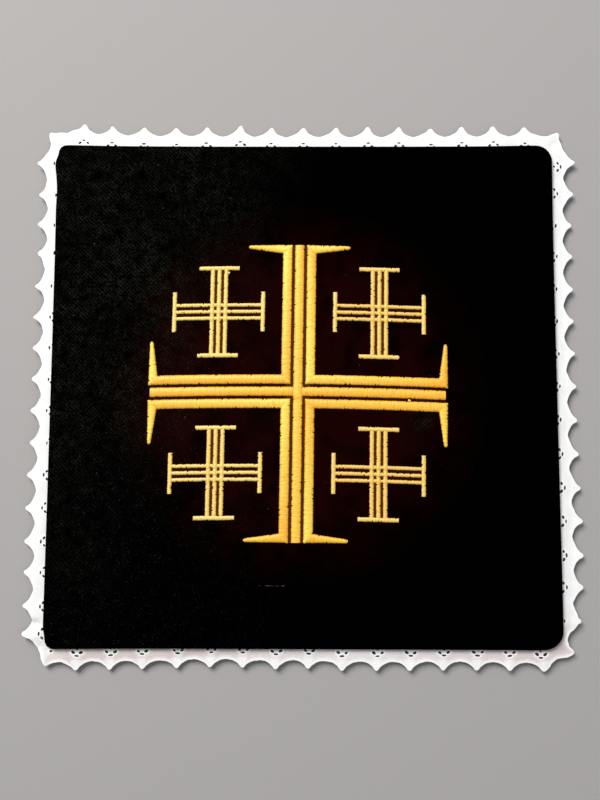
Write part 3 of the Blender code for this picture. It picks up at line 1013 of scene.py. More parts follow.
class Embroidery:
    """Stitched bars that are gathered into one mesh."""

    def __init__(self, name, seed):
        self.name = name
        self.chance = random.Random(seed)
        self.points = []
        self.faces = []
        self.tone = []
        self.groove_shade = []

    def ring(self, place, low, high, height, raised, upright, tone, groove_shade):
        """One dome of points across the bar. Its number is returned by where it starts."""
        start = len(self.points)
        middle, half = (low + high) / 2, (high - low) / 2
        for number in range(DOME_POINTS):
            angle = math.pi * number / (DOME_POINTS - 1)
            aside = middle - half * math.cos(angle)
            x, y = laid(aside, place) if upright else laid(place, aside)
            rise = height * math.sin(angle) ** DOME_FULLNESS if 0 < number < DOME_POINTS - 1 else 0.0
            self.points.append((x, y, cloth_level(x, y) - SUNK + raised + rise))
            self.tone.append(tone)
            from_foot = min(number, DOME_POINTS - 1 - number)
            foot = FOOT_SHADE[from_foot] if from_foot < len(FOOT_SHADE) else 0.0
            self.groove_shade.append(max(groove_shade, foot))
        return start

    def bar(self, stations, upright, shine, height=STITCH_HEIGHT, lift=None):
        """Lays stitches along stations of (along, low, high). shine says how much light they catch at
        the end near the middle of the cross and at the far end; lift gives (raise, flatten)."""
        chance = self.chance
        first, last = stations[0][0], stations[-1][0]
        near, far = sorted((first, last), key=abs)
        count = max(2, round((last - first) / STITCH_PITCH))
        pitch = (last - first) / count
        starts = []
        for number in range(count):
            place = first + (number + 0.5 + chance.uniform(-PLACE_JITTER, PLACE_JITTER)) * pitch
            low, high = between(stations, place)
            low += chance.uniform(-END_JITTER, END_JITTER)
            high += chance.uniform(-END_JITTER, END_JITTER)
            if chance.random() < SHORT_STITCH_ODDS and high - low > SHORT_ONLY_PAST * SHORT_STITCH:
                high -= SHORT_STITCH
            if chance.random() < SHORT_STITCH_ODDS and high - low > SHORT_ONLY_PAST * SHORT_STITCH:
                low += SHORT_STITCH
            middle = (low + high) / 2
            half = max((high - low) / 2, SHORTEST / 2)
            low, high = middle - half, middle + half
            tall = min(height, TALLEST * (high - low)) * chance.uniform(*HEIGHT_SPREAD)
            raised, flat = lift(place) if lift else (0.0, 1.0)
            tone = shine[0] + (shine[1] - shine[0]) * (place - near) / (far - near)
            tone = min(1.0, max(0.0, tone + chance.uniform(-TONE_SPREAD, TONE_SPREAD)))
            inset = min(VALLEY_INSET, half / VALLEY_PARTS)
            deep = VALLEY_LEAST + (1 - VALLEY_LEAST) * chance.random() ** VALLEY_RARITY
            rows = [(place - 0.5 * pitch, low + inset, high - inset, tall * (1 - VALLEY_DROP * deep),
                     VALLEY_SHADE * deep)]
            rows += [(place + share * pitch, low, high, tall, 0.0) for share in CREST_OFFSETS]
            for spot, ring_low, ring_high, ring_height, groove_shade in rows:
                starts.append(self.ring(spot, ring_low, ring_high, ring_height * flat, raised,
                                        upright, tone, groove_shade))
        skin = []
        for here, after in zip(starts, starts[1:]):
            for number in range(DOME_POINTS):
                onward = (number + 1) % DOME_POINTS
                skin.append((here + number, after + number, after + onward, here + onward))
        skin.append(tuple(range(starts[0], starts[0] + DOME_POINTS)))
        skin.append(tuple(range(starts[-1], starts[-1] + DOME_POINTS))[::-1])
        self.faces += skin if upright else [face[::-1] for face in skin]

    def knot(self, across, up, shine=1.0):
        """A loop of thread that was left standing."""
        self.bar([(across - KNOT_LONG, up - KNOT_HALF, up + KNOT_HALF),
                  (across + KNOT_LONG, up - KNOT_HALF, up + KNOT_HALF)],
                 False, (shine, shine), lift=lambda place: (KNOT_RAISE, 1.0))

    def finished(self):
        return mesh_object(self.name, self.points, self.faces, {"tone": self.tone, "groove_shade": self.groove_shade})


print("the middle of the cross lies at", [round(value / MM, 2) for value in laid(0.0, 0.0)], "mm")

# %% [markdown]
# The big cross has one upright and one level bar, and a stitched angle in each quarter whose two
# arms end in tapered spurs. All of it is counted from the middle of the cross, so one angle is
# described once and turned into the four quarters by its signs.

# %% The big cross
BAR_HALF = 1.525 * MM
BAR_NEAR = 2.325 * MM
BAR_FAR = 5.375 * MM
UPRIGHT_REACH = 47.3 * MM
CROSSBAR_REACH = 46.7 * MM
ANGLE_REACH = 47.35 * MM
SPUR_LENGTH = 10.9 * MM
SPUR_ROOT = 2.95 * MM
SPUR_TIP = 1.25 * MM
SPUR_TIP_DROP = 0.55 * MM
SPUR_TIP_CUT = 0.35 * MM
SPUR_EASE = 0.15 * MM
CROSSING_RAISE = 0.22 * MM
CROSSING_FADE = 1.1 * MM
CROSSING_FLATTEN = 0.5
MITRE_LAP = 0.75 * MM
QUARTERS = {"ne": (1, 1), "nw": (-1, 1), "sw": (-1, -1), "se": (1, -1)}
MIDDLE_SEED = 31
ANGLE_SEED = 41
ANGLE_KNOTS = {"se": [(35.2 * MM, -2.1 * MM)]}
# The shine of each angle's bars and spurs, at their near and far ends
SHINES = {
    "ne": {"level": (0.65, 0.0), "upright": (1.0, 0.15), "side_spur": (0.0, 0.2), "end_spur": (0.8, 0.5)},
    "nw": {"level": (0.15, 0.15), "upright": (0.1, 0.95), "side_spur": (0.9, 1.0), "end_spur": (1.0, 0.4)},
    "sw": {"level": (0.7, 0.1), "upright": (1.0, 0.0), "side_spur": (0.5, 1.0), "end_spur": (0.0, 0.5)},
    "se": {"level": (0.1, 0.25), "upright": (0.0, 0.95), "side_spur": (0.6, 0.6), "end_spur": (0.0, 0.4)},
}
MIDDLE_UPRIGHT_SHINE = (0.35, 0.40)
MIDDLE_LEVEL_SHINE = (0.15, 0.10)


def over_crossing(place):
    near = 1 - ease(BAR_HALF, BAR_HALF + CROSSING_FADE, abs(place))
    return CROSSING_RAISE * near, 1.0


def under_crossing(place):
    near = 1 - ease(BAR_HALF - CROSSING_FADE, BAR_HALF + CROSSING_FADE / 2, abs(place))
    return 0.0, 1.0 - CROSSING_FLATTEN * near


def straight(middle_place, reach, low, high):
    """The two stations of a plain bar."""
    return [(middle_place - reach, low, high), (middle_place + reach, low, high)]


def signed(stations, along_sign, aside_sign):
    """The stations mirrored into a quarter, in rising order."""
    turned = [(along * along_sign, *sorted((low * aside_sign, high * aside_sign)))
              for along, low, high in stations]
    return sorted(turned)


def stitch_angle(name, sign_x, sign_y, shines, seed):
    sewn = Embroidery(name, seed)
    top = BAR_FAR + SPUR_LENGTH
    outer = ANGLE_REACH - SPUR_EASE
    arm = [
        (BAR_NEAR, BAR_NEAR, BAR_NEAR + MITRE_LAP),
        (BAR_FAR - MITRE_LAP, BAR_NEAR, BAR_FAR),
        (ANGLE_REACH - SPUR_ROOT + MITRE_LAP, BAR_NEAR, BAR_FAR),
        (ANGLE_REACH, BAR_NEAR, BAR_NEAR + MITRE_LAP),
    ]
    spur = [
        (BAR_NEAR, ANGLE_REACH - MITRE_LAP, ANGLE_REACH),
        (BAR_FAR - MITRE_LAP, ANGLE_REACH - SPUR_ROOT, ANGLE_REACH),
        (top - SPUR_TIP_DROP, outer - SPUR_TIP, outer),
        (top, outer - SPUR_TIP + SPUR_TIP_CUT, outer - SPUR_TIP_CUT),
    ]
    sewn.bar(signed(arm, sign_x, sign_y), False, shines["level"])
    sewn.bar(signed(arm, sign_y, sign_x), True, shines["upright"])
    sewn.bar(signed(spur, sign_y, sign_x), True, shines["side_spur"])
    sewn.bar(signed(spur, sign_x, sign_y), False, shines["end_spur"])
    return sewn


middle = Embroidery("cross_middle_thread", MIDDLE_SEED)
middle.bar(straight(0.0, CROSSBAR_REACH, -BAR_HALF, BAR_HALF), False, MIDDLE_LEVEL_SHINE,
           lift=under_crossing)
middle.bar(straight(0.0, UPRIGHT_REACH, -BAR_HALF, BAR_HALF), True, MIDDLE_UPRIGHT_SHINE,
           lift=over_crossing)
cross_middle = middle.finished()
angles = {}
for number, (quarter, signs) in enumerate(QUARTERS.items()):
    name = "cross_angle_" + quarter + "_thread"
    sewn_angle = stitch_angle(name, *signs, SHINES[quarter], ANGLE_SEED + number)
    for across, up in ANGLE_KNOTS.get(quarter, ()):
        sewn_angle.knot(across, up)
    angles[quarter] = sewn_angle.finished()
print("the middle cross has", len(cross_middle.data.polygons), "faces")

# %% [markdown]
# Each small cross is three thin uprights over three thin level bars, with an end bar sewn across
# the ends of each group. The uprights were sewn last, so they ride over the level ones.

# %% The small crosses
SMALL_OFFSET = 25.6 * MM
SMALL_REACH = 14.8 * MM
SMALL_HALF = 0.70 * MM
SMALL_LEVEL_HALF = 0.60 * MM
SMALL_PITCH = 2.13 * MM
SMALL_END_HALF = 6.45 * MM
SMALL_RAISE = 0.16 * MM
SMALL_FADE = 0.5 * MM
END_RAISE = 0.10 * MM
END_LAP = 0.5 * MM
SMALL_SEED = 51
SMALL_SHINES = {"ne": 0.35, "nw": 0.90, "sw": 0.80, "se": 0.30}
END_SHINE = 0.35
SMALL_KNOTS = {"ne": [(29.0 * MM, 23.2 * MM)], "nw": [(-22.6 * MM, 38.2 * MM), (-36.9 * MM, 25.7 * MM)]}


def crossings_of(middle_place):
    """The lift of an upright where it rides over the three level bars around a place."""
    def lift(place):
        aside = min(abs(place - middle_place - step * SMALL_PITCH) for step in (-1, 0, 1))
        return SMALL_RAISE * (1 - ease(SMALL_HALF - SMALL_FADE, SMALL_HALF + SMALL_FADE, aside)), 1.0
    return lift


def stitch_small(name, sign_x, sign_y, shine, seed):
    sewn = Embroidery(name, seed)
    middle_x, middle_y = sign_x * SMALL_OFFSET, sign_y * SMALL_OFFSET
    reach = SMALL_REACH - 2 * SMALL_HALF + END_LAP
    for upright, along, aside in ((False, middle_x, middle_y), (True, middle_y, middle_x)):
        half = SMALL_HALF if upright else SMALL_LEVEL_HALF
        for step in (-1, 0, 1):
            low = aside + step * SMALL_PITCH - half
            high = aside + step * SMALL_PITCH + half
            sewn.bar(straight(along, reach, low, high), upright, (shine, shine), SMALL_HEIGHT,
                     crossings_of(along) if upright else None)
        for end in (-1, 1):
            low = along + end * (SMALL_REACH - SMALL_HALF) - SMALL_HALF
            high = low + 2 * SMALL_HALF
            sewn.bar(straight(aside, SMALL_END_HALF, low, high), not upright,
                     (shine + END_SHINE, shine + END_SHINE), SMALL_HEIGHT,
                     lambda place: (END_RAISE, 1.0))
    return sewn


small_crosses = {}
for number, (quarter, signs) in enumerate(QUARTERS.items()):
    name = "small_cross_" + quarter + "_thread"
    sewn_small = stitch_small(name, *signs, SMALL_SHINES[quarter], SMALL_SEED + number)
    for across, up in SMALL_KNOTS.get(quarter, ()):
        sewn_small.knot(across, up)
    small_crosses[quarter] = sewn_small.finished()
print("small crosses:", [piece.name for piece in small_crosses.values()])

# %% [markdown]
# Materials come last. Their nodes are laid by a few short helpers, which take sockets or plain
# numbers and return a socket, so that a chain of maths nodes reads like a line of sums.

# %% Node helpers
def new_group(name, output, **inputs):
    """A shader node group with a place, named float inputs and one float output."""
    group = bpy.data.node_groups.new(name, "ShaderNodeTree")
    sockets = group.interface
    sockets.new_socket(name="Place", in_out="INPUT", socket_type="NodeSocketVector")
    for key, value in inputs.items():
        socket = sockets.new_socket(name=key, in_out="INPUT", socket_type="NodeSocketFloat")
        socket.default_value = value
    sockets.new_socket(name=output, in_out="OUTPUT", socket_type="NodeSocketFloat")
    given = group.nodes.new("NodeGroupInput").outputs
    return group, given, group.nodes.new("NodeGroupOutput").inputs[output]


def math_node(tree, operation, first, *others, clamp=False):
    """Math nodes in a row, with one operation on sockets or numbers, clamped only at the end."""
    for number, second in enumerate(others or (None,), start=1):
        node = tree.nodes.new("ShaderNodeMath")
        node.operation = operation
        node.use_clamp = clamp and number >= len(others)
        for socket, value in zip(node.inputs, (first, second)):
            if isinstance(value, (int, float)):
                socket.default_value = value
            elif value is not None:
                tree.links.new(value, socket)
        first = node.outputs["Value"]
    return first


def new_material(name):
    material = bpy.data.materials.new(name)
    material.use_nodes = True
    tree = material.node_tree
    return material, tree, tree.nodes["Principled BSDF"]


def object_place(tree):
    return tree.nodes.new("ShaderNodeTexCoord").outputs["Object"]


def place_parts(tree, place=None):
    """The X, Y and Z of a place, or else of the place on the object."""
    parts = tree.nodes.new("ShaderNodeSeparateXYZ")
    tree.links.new(place or object_place(tree), parts.inputs["Vector"])
    return parts.outputs


def use_group(tree, group, **values):
    """A group fed by the object's own coordinates, with inputs set by name. Its output is returned."""
    node = tree.nodes.new("ShaderNodeGroup")
    node.node_tree = group
    tree.links.new(object_place(tree), node.inputs["Place"])
    for key, value in values.items():
        node.inputs[key].default_value = value
    return node.outputs[0]


def attribute(tree, name):
    node = tree.nodes.new("ShaderNodeAttribute")
    node.attribute_name = name
    return node.outputs["Fac"]


def mix_colour(tree, share, first, second):
    """A colour mix whose colours are sockets or plain colours. Its output socket is returned."""
    node = tree.nodes.new("ShaderNodeMix")
    node.data_type = "RGBA"
    tree.links.new(share, node.inputs["Factor"])
    for socket, value in ((node.inputs["A"], first), (node.inputs["B"], second)):
        if isinstance(value, tuple):
            socket.default_value = value
        else:
            tree.links.new(value, socket)
    return node.outputs["Result"]


def finish_surface(tree, shader, colour, roughness, specular):
    tree.links.new(colour, shader.inputs["Base Color"])
    shader.inputs["Roughness"].default_value = roughness
    shader.inputs["Specular IOR Level"].default_value = specular


def bump(tree, shader, height, distance, strength):
    """Feeds a height, 0 to 1, into the shader's normal as a bump of this many metres."""
    node = tree.nodes.new("ShaderNodeBump")
    node.inputs["Distance"].default_value = distance
    node.inputs["Strength"].default_value = strength
    tree.links.new(height, node.inputs["Height"])
    tree.links.new(node.outputs["Normal"], shader.inputs["Normal"])


print("node helpers are ready:", [helper.__name__ for helper in (math_node, use_group, mix_colour)])

# %% [markdown]
# The materials share two small node groups, clouds and woven threads. Each gives out only one mask
# or height, from plain inputs, and the material decides what colour or bump comes of it. That way
# the same clouds serve as patches of painted sheen, as painted glints, as fibres and as the breaks in a
# hair.

# %% Shared node groups
TURN = 2 * math.pi
CLOUD_DETAIL = 3.0
BEAD_SHARE = 0.35


def soft_patches_group():
    """A soft, cloudy mask; Size is how far the clouds reach, Contrast how sharply they end."""
    group, given, mask = new_group("soft_patches", "Mask", Size=0.02, Contrast=2.0)
    scaled = group.nodes.new("ShaderNodeVectorMath")
    scaled.operation = "SCALE"
    group.links.new(given["Place"], scaled.inputs[0])
    group.links.new(math_node(group, "DIVIDE", 1.0, given["Size"]), scaled.inputs["Scale"])
    clouds = group.nodes.new("ShaderNodeTexNoise")
    clouds.inputs["Scale"].default_value = 1.0
    clouds.inputs["Detail"].default_value = CLOUD_DETAIL
    group.links.new(scaled.outputs["Vector"], clouds.inputs["Vector"])
    centred = math_node(group, "SUBTRACT", clouds.outputs["Fac"], 0.5)
    spread = math_node(group, "MULTIPLY", centred, given["Contrast"])
    group.links.new(math_node(group, "ADD", spread, 0.5, clamp=True), mask)
    return group


def woven_threads_group():
    """Woven cloth; Twill is 1 for slanting ribs and 0 for threads that cross evenly."""
    group, given, height = new_group("woven_threads", "Height", Pitch=0.0007, Slant=0.0, Twill=1.0)
    turned = group.nodes.new("ShaderNodeVectorRotate")
    turned.rotation_type = "Z_AXIS"
    group.links.new(given["Place"], turned.inputs["Vector"])
    group.links.new(given["Slant"], turned.inputs["Angle"])
    parts = place_parts(group, turned.outputs["Vector"])
    turns = math_node(group, "DIVIDE", TURN, given["Pitch"])
    across = math_node(group, "SINE", math_node(group, "MULTIPLY", parts["X"], turns))
    along = math_node(group, "SINE", math_node(group, "MULTIPLY", parts["Y"], turns))
    ribs = math_node(group, "MULTIPLY", across, given["Twill"])
    beads = math_node(group, "MULTIPLY", along, BEAD_SHARE, given["Twill"])
    plain = math_node(group, "SUBTRACT", 1.0, given["Twill"])
    even = math_node(group, "MULTIPLY", across, along, plain)
    halved = math_node(group, "MULTIPLY", math_node(group, "ADD", ribs, beads, even), 0.5)
    group.links.new(math_node(group, "ADD", halved, 0.5, clamp=True), height)
    return group


soft_patches = soft_patches_group()
woven_threads = woven_threads_group()
print("shared groups:", [group.name for group in (soft_patches, woven_threads)])

# %% [markdown]
# Masks for the cover: small dots, a band, a round spot and the upper left side, where the ribs get
# painted sheen and lint lies. In the narrow gaps between the bars of the cross the thread on both
# sides lights the cloth brown, which is painted in as a glow, less so between level bars. Those gaps
# are found by counting across and up from the middle of the cross, with its lean and bow taken out
# again.

# %% Masks for the cover
# The upper left part of the cloth, towards the lamp, where the ribs get painted sheen and lint lies: it
# fades out over this length to the right and downward
SHEEN_AND_LINT_MIDDLE = -0.50
SHEEN_AND_LINT_RIGHT = 0.050
SHEEN_AND_LINT_DOWN = 0.110


def dots(tree, spacing, size):
    """Small sparse dots: the cells of a Voronoi texture are cut off close to their middles."""
    cells = tree.nodes.new("ShaderNodeTexVoronoi")
    cells.inputs["Scale"].default_value = 1 / spacing
    tree.links.new(object_place(tree), cells.inputs["Vector"])
    return math_node(tree, "LESS_THAN", cells.outputs["Distance"], size)


def sheen_and_lint_side(tree, parts):
    """1 at the upper left corner of the cloth, towards the lamp, where the ribs get the most painted sheen
    and the lint lies, down to 0.
    """
    right = math_node(tree, "DIVIDE", parts["X"], SHEEN_AND_LINT_RIGHT)
    down = math_node(tree, "DIVIDE", parts["Y"], -SHEEN_AND_LINT_DOWN)
    return math_node(tree, "SUBTRACT", SHEEN_AND_LINT_MIDDLE, math_node(tree, "ADD", right, down), clamp=True)


def within(tree, place, middle, half):
    """1 where a place is nearer to the middle of a band than half its width."""
    away = math_node(tree, "ABSOLUTE", math_node(tree, "SUBTRACT", place, middle))
    return math_node(tree, "LESS_THAN", away, half)


def round_mask(tree, middle, reach, fade):
    """1 round a place, out to its reach, with a soft border that is as wide as the fade."""
    away = tree.nodes.new("ShaderNodeVectorMath")
    away.operation = "DISTANCE"
    tree.links.new(object_place(tree), away.inputs[0])
    away.inputs[1].default_value = middle
    inside = math_node(tree, "SUBTRACT", reach, away.outputs["Value"])
    return math_node(tree, "DIVIDE", inside, fade, clamp=True)


def gaps_between_bars(tree, parts):
    """Two masks, 1 in the bands of the cross where upright bars, and level bars, lie side by side."""
    up = math_node(tree, "SUBTRACT", parts["Y"], LAID_Y)
    across = math_node(tree, "SUBTRACT", parts["X"], LAID_X, math_node(tree, "MULTIPLY", up, LAID_LEAN))
    bow = math_node(tree, "MULTIPLY", across, across, LAID_ARCH)
    up = math_node(tree, "ADD", up, math_node(tree, "MULTIPLY", across, LAID_DROP), bow)
    across = math_node(tree, "ABSOLUTE", across)
    up = math_node(tree, "ABSOLUTE", up)
    small_half = SMALL_PITCH + SMALL_HALF / 2
    small_reach = SMALL_REACH - SMALL_HALF
    masks = []
    for aside, along, reach in ((across, up, UPRIGHT_REACH), (up, across, CROSSBAR_REACH)):
        big = math_node(tree, "MULTIPLY", within(tree, aside, 0.0, BAR_NEAR + BAR_HALF),
                        within(tree, along, 0.0, reach))
        small = math_node(tree, "MULTIPLY", within(tree, aside, SMALL_OFFSET, small_half),
                          within(tree, along, SMALL_OFFSET, small_reach))
        masks.append(math_node(tree, "ADD", big, small, clamp=True))
    return masks


print("masks are ready; upright bars lie side by side within", round((BAR_NEAR + BAR_HALF) / MM, 2), "mm")

# %% [markdown]
# Black twill takes almost all the light. What little it sends back is painted into its colour: a faint
# painted sheen on its ribs, which slant down to the right, in greyer patches towards its upper left where
# the lamp stands, a painted warm reflection of the thread round the cross, and painted glints, finer
# flecks and paler rows of the weave, all over its left half. On it lies what clings to any black cloth:
# specks of lint and one pale broken hair low down. The warm tones and the hair are only on the upper
# face, because the underside is plain.

# %% Black twill
TWILL_PITCH = 0.93 * MM
TWILL_SLANT = math.radians(-46)
TWILL_BUMP, TWILL_BUMP_STRENGTH = 0.05 * MM, 0.6
TWILL_ROUGHNESS = 0.85
TWILL_DARK = (0.00012, 0.00010, 0.00010, 1.0)
# Painted sheen on the ribs, strongest towards the lamp at the upper left
TWILL_RIB_SHEEN = (0.0172, 0.0192, 0.0125, 1.0)
# Painted reflection of the thread's warm colour on the cloth round the cross
TWILL_WARM_REFLECTION = (0.0058, 0.0006, 0.0004, 1.0)
LEVEL_GLOW = (0.0160, 0.0028, 0.0006, 1.0)
UPRIGHT_GLOW = (0.0520, 0.0140, 0.0008, 1.0)
RIB_SHARE = 0.85
# Soft patches of the painted sheen and glints, of the painted warm reflection and of the hair's breaks: how
# far they reach and how sharply they end
SHEEN_PATCHES = {"Size": 0.022, "Contrast": 1.5}
GLINT_CLOUDS = {"Size": 0.0034, "Contrast": 2.2}
GLINT_PATCHES = {"Size": 0.0007, "Contrast": 4.0}
WARM_PATCHES = {"Size": 0.010, "Contrast": 3.0}
HAIR_BREAKS = {"Size": 0.0022, "Contrast": 9.0}
LINT_COLOUR = (0.050, 0.050, 0.046, 1.0)
LINT_SPACING, LINT_SIZE = 5.2 * MM, 0.032
LINT_BY_CROSS = 0.6
# Painted glints: flecks and rows of the weave on the left half, towards the lamp
FLECK_GLINT_COLOUR = (0.0115, 0.0122, 0.0115, 1.0)
FLECK_SPACING, FLECK_SIZE = 1.0 * MM, 0.17
GLINT_ROWS = 0.12
FLECK_RIGHT, FLECK_FADE = 0.004, 0.050
HAIR_COLOUR = (0.040, 0.038, 0.034, 1.0)
HAIR_X, HAIR_Y = -9.7 * MM, -60.9 * MM
HAIR_HALF_LONG, HAIR_HALF_WIDE = 4.1 * MM, 0.13 * MM
# Painted reflection: the cloth round the cross is painted a warm tone reflected from the thread, out to this
# far from the middle
WARM_REACH, WARM_FADE, WARM_LEAST = 0.062, 0.026, 0.25
# A small spot beside the right arm of the cross where the ribs are painted paler as well
GREY_SPOT_PLACE = (0.0370, -0.0085, 0.0040)
GREY_SPOT_REACH = 0.0055


def twill_material():
    material, tree, shader = new_material("black_twill_cloth")
    parts = place_parts(tree)
    upper_face = math_node(tree, "GREATER_THAN", parts["Z"], THICKNESS / 2)
    ribs = use_group(tree, woven_threads, Pitch=TWILL_PITCH, Slant=TWILL_SLANT, Twill=1.0)
    rib_shine = math_node(tree, "MULTIPLY", ribs, RIB_SHARE)
    rib_shine = math_node(tree, "ADD", rib_shine, 1 - RIB_SHARE)
    glint_clouds = use_group(tree, soft_patches, **GLINT_CLOUDS)
    glints = use_group(tree, soft_patches, **GLINT_PATCHES)
    sheen_and_lint_fade = sheen_and_lint_side(tree, parts)

    # The dark cloth, with the painted warm reflection of the thread round the cross and the painted glow in
    # the gaps between bars
    round_cross = round_mask(tree, (LAID_X, LAID_Y, THICKNESS), WARM_REACH, WARM_FADE)
    warm_reflection_share = use_group(tree, soft_patches, **WARM_PATCHES)
    warm_reflection_share = math_node(tree, "ADD", warm_reflection_share, WARM_LEAST, clamp=True)
    warm_reflection_share = math_node(tree, "MULTIPLY", warm_reflection_share, round_cross, upper_face)
    colour = mix_colour(tree, warm_reflection_share, TWILL_DARK, TWILL_WARM_REFLECTION)
    upright_gaps, level_gaps = gaps_between_bars(tree, parts)
    for gaps, glow in ((level_gaps, LEVEL_GLOW), (upright_gaps, UPRIGHT_GLOW)):
        colour = mix_colour(tree, math_node(tree, "MULTIPLY", gaps, upper_face), colour, glow)

    # Painted sheen: the ribs are painted paler towards the upper left, where the lamp stands, and in the
    # small spot beside the cross
    grey_spot = round_mask(tree, GREY_SPOT_PLACE, GREY_SPOT_REACH, GREY_SPOT_REACH)
    sheen_places = math_node(tree, "MULTIPLY", use_group(tree, soft_patches, **SHEEN_PATCHES), sheen_and_lint_fade)
    sheen_places = math_node(tree, "ADD", sheen_places, grey_spot, clamp=True)
    rib_sheen_share = math_node(tree, "MULTIPLY", rib_shine, glints, glint_clouds, sheen_places)
    colour = mix_colour(tree, rib_sheen_share, colour, TWILL_RIB_SHEEN)

    # Painted glints: paler flecks and rows of the weave on the left half, towards the lamp
    from_right = math_node(tree, "SUBTRACT", FLECK_RIGHT, parts["X"])
    left_half = math_node(tree, "DIVIDE", from_right, FLECK_FADE, clamp=True)
    rows = math_node(tree, "MULTIPLY", rib_shine, GLINT_ROWS, glints)
    fleck_glints = math_node(tree, "ADD", dots(tree, FLECK_SPACING, FLECK_SIZE), rows, clamp=True)
    fleck_glint_share = math_node(tree, "MULTIPLY", fleck_glints, left_half, glint_clouds)
    colour = mix_colour(tree, fleck_glint_share, colour, FLECK_GLINT_COLOUR)

    # The hair and the lint
    hair = math_node(tree, "MULTIPLY", within(tree, parts["X"], HAIR_X, HAIR_HALF_LONG),
                     within(tree, parts["Y"], HAIR_Y, HAIR_HALF_WIDE), upper_face,
                     use_group(tree, soft_patches, **HAIR_BREAKS))
    colour = mix_colour(tree, hair, colour, HAIR_COLOUR)
    lint_places = math_node(tree, "ADD", sheen_and_lint_fade, math_node(tree, "MULTIPLY", round_cross, LINT_BY_CROSS))
    lint = math_node(tree, "MULTIPLY", dots(tree, LINT_SPACING, LINT_SIZE), lint_places, clamp=True)
    colour = mix_colour(tree, lint, colour, LINT_COLOUR)
    finish_surface(tree, shader, colour, TWILL_ROUGHNESS, 0.0)
    bump(tree, shader, ribs, TWILL_BUMP, TWILL_BUMP_STRENGTH)
    return material


twill = twill_material()
print(twill.name, "has", len(twill.node_tree.nodes), "nodes")

# %% [markdown]
# The lace is one material too. Its ground is thin cotton that lets a little grey through, and where
# the mask of the mesh says thread, it is whiter and ribbed by the stitches. Towards the bottom it is
# painted greyer and pinker, as painted shade.

# %% White cotton
GROUND_COLOUR = (0.603, 0.603, 0.592, 1.0)
SHADE_TINT_COLOUR = (0.455, 0.400, 0.388, 1.0)
THREAD_COLOUR = (0.663, 0.660, 0.649, 1.0)
# Painted shade: the trim is painted a little greyer and pinker towards the bottom, away from the lamp,
# below this line and over this length, least so near this X
TINT_START, TINT_LENGTH = -0.066, 0.014
TINT_LEAST, TINT_LEAST_X = 0.50, 0.020
TINT_RISE = 0.110
# but not in the lower left corner, where it is white again past this line
TINT_LEFT, TINT_LEFT_FADE = -0.083, 0.010
COTTON_PITCH = 0.34 * MM
OVERCAST_PITCH = 0.36 * MM
COTTON_ROUGHNESS, COTTON_SPECULAR = 0.9, 0.2
COTTON_BUMP, COTTON_BUMP_STRENGTH = 0.03 * MM, 0.5


def cotton_material():
    material, tree, shader = new_material("white_cotton_lace")
    covered = attribute(tree, "overcast")
    parts = place_parts(tree)
    # Painted shade: greyer and pinker towards the bottom, away from the lamp
    below = math_node(tree, "SUBTRACT", TINT_START, parts["Y"])
    below = math_node(tree, "DIVIDE", below, TINT_LENGTH, clamp=True)
    aside = math_node(tree, "ABSOLUTE", math_node(tree, "SUBTRACT", parts["X"], TINT_LEAST_X))
    aside = math_node(tree, "DIVIDE", aside, TINT_RISE)
    aside = math_node(tree, "ADD", aside, TINT_LEAST, clamp=True)
    from_left = math_node(tree, "SUBTRACT", parts["X"], TINT_LEFT)
    from_left = math_node(tree, "DIVIDE", from_left, TINT_LEFT_FADE, clamp=True)
    shade_tint_share = math_node(tree, "MULTIPLY", below, aside, from_left)
    colour = mix_colour(tree, shade_tint_share, GROUND_COLOUR, SHADE_TINT_COLOUR)
    colour = mix_colour(tree, covered, colour, THREAD_COLOUR)
    finish_surface(tree, shader, colour, COTTON_ROUGHNESS, COTTON_SPECULAR)
    weave = use_group(tree, woven_threads, Pitch=COTTON_PITCH, Slant=0.0, Twill=0.0)
    weave = math_node(tree, "MULTIPLY", weave, math_node(tree, "SUBTRACT", 1.0, covered))
    run_turns = math_node(tree, "MULTIPLY", attribute(tree, "run"), TURN / OVERCAST_PITCH)
    stitches = math_node(tree, "MULTIPLY", math_node(tree, "SINE", run_turns), 0.5)
    stitches = math_node(tree, "MULTIPLY", math_node(tree, "ADD", stitches, 0.5), covered)
    height = math_node(tree, "ADD", stitches, weave)
    bump(tree, shader, height, COTTON_BUMP, COTTON_BUMP_STRENGTH)
    return material


cotton = cotton_material()
print(cotton.name, "has", len(cotton.node_tree.nodes), "nodes")
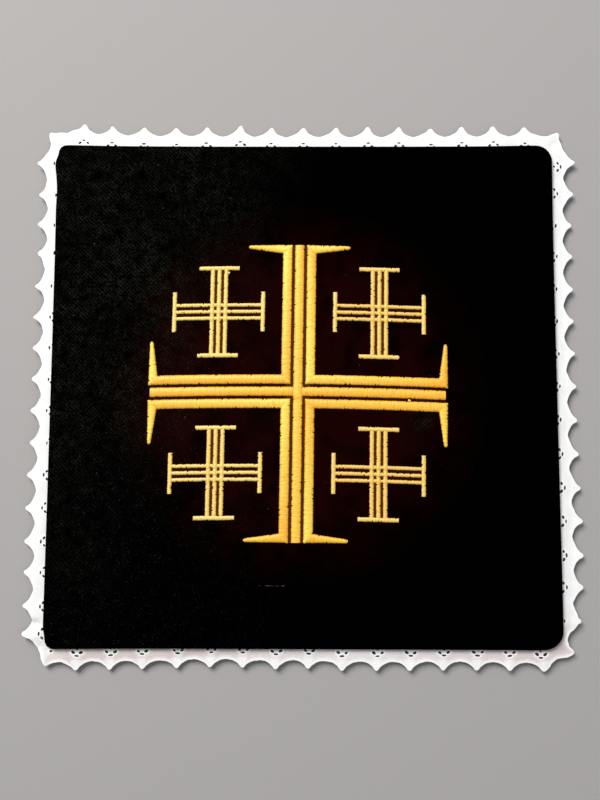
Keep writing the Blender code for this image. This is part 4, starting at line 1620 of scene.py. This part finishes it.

# %% [markdown]
# Gold embroidery thread is shiny rayon, not metal: yellow with a soft pale sheen. Bars whose stitches
# catch the light are painted lemon yellow and the others nearer to orange, as painted sheen, and the
# valleys between stitches, the feet of the bars and the small specks between threads get painted shade
# in a deeper colour. The small crosses are sewn with thinner bars that look paler, as more of each
# narrow bar catches the light, so they get their own paler mix, a painted sheen too.

# %% Gold thread
GOLD_DEEP = (0.695, 0.320, 0.014, 1.0)
GOLD_LIGHT = (0.695, 0.515, 0.062, 1.0)
GOLD_GROOVE_SHADE = (0.46, 0.170, 0.008, 1.0)
PALE_DEEP = (0.595, 0.350, 0.069, 1.0)
PALE_LIGHT = (0.630, 0.456, 0.124, 1.0)
PALE_GROOVE_SHADE = (0.44, 0.230, 0.035, 1.0)
SHEEN_COLOUR = (1.0, 0.86, 0.52, 1.0)
GOLD_ROUGHNESS, GOLD_SPECULAR = 0.42, 0.80
GOLD_BUMP, GOLD_BUMP_STRENGTH = 0.03 * MM, 0.5
FIBRE_PATCHES = {"Size": 0.16 * MM, "Contrast": 1.5}
SHADE_SPECK_PATCHES = {"Size": 0.55 * MM, "Contrast": 3.0}
SHADE_SPECK_LEAST, SHADE_SPECK_STRENGTH = 0.60, 1.3
GROOVE_STRENGTH = 0.75


def gold_material(name, deep, light, groove_shade_colour):
    material, tree, shader = new_material(name)
    # Painted sheen: the tone, mostly how much light the bar's stitches catch, mixes towards the lighter
    # colour
    colour = mix_colour(tree, attribute(tree, "tone"), deep, light)
    # Painted shade in the valleys, at the feet of the bars and in small specks between threads
    shade_specks = use_group(tree, soft_patches, **SHADE_SPECK_PATCHES)
    shade_specks = math_node(tree, "SUBTRACT", shade_specks, SHADE_SPECK_LEAST, clamp=True)
    shade_specks = math_node(tree, "MULTIPLY", shade_specks, SHADE_SPECK_STRENGTH)
    painted_shade = math_node(tree, "MULTIPLY", attribute(tree, "groove_shade"), GROOVE_STRENGTH)
    painted_shade = math_node(tree, "ADD", painted_shade, shade_specks, clamp=True)
    colour = mix_colour(tree, painted_shade, colour, groove_shade_colour)
    finish_surface(tree, shader, colour, GOLD_ROUGHNESS, GOLD_SPECULAR)
    shader.inputs["Specular Tint"].default_value = SHEEN_COLOUR
    bump(tree, shader, use_group(tree, soft_patches, **FIBRE_PATCHES), GOLD_BUMP, GOLD_BUMP_STRENGTH)
    return material


gold = gold_material("gold_thread_bold", GOLD_DEEP, GOLD_LIGHT, GOLD_GROOVE_SHADE)
# The small crosses' paler mix paints in the larger share of highlight on their narrow bars
pale_gold = gold_material("gold_thread_fine", PALE_DEEP, PALE_LIGHT, PALE_GROOVE_SHADE)
print([gold.name, pale_gold.name], "have", len(gold.node_tree.nodes), "nodes each")

# %% [markdown]
# Last, each piece gets what it is made of, is attached to the root body and hides the solid that it
# stands for.


def settle(piece, node, material):
    piece.data.materials.append(material)
    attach(piece, "root")
    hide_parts(node)


settle(cover, "panel", twill)
settle(lace, "lace_edging", cotton)
settle(cross_middle, "cross_middle", gold)
for quarter in QUARTERS:
    settle(angles[quarter], "cross_angle_" + quarter, gold)
    settle(small_crosses[quarter], "small_cross_" + quarter, pale_gold)
print("pieces:", 3 + len(angles) + len(small_crosses))
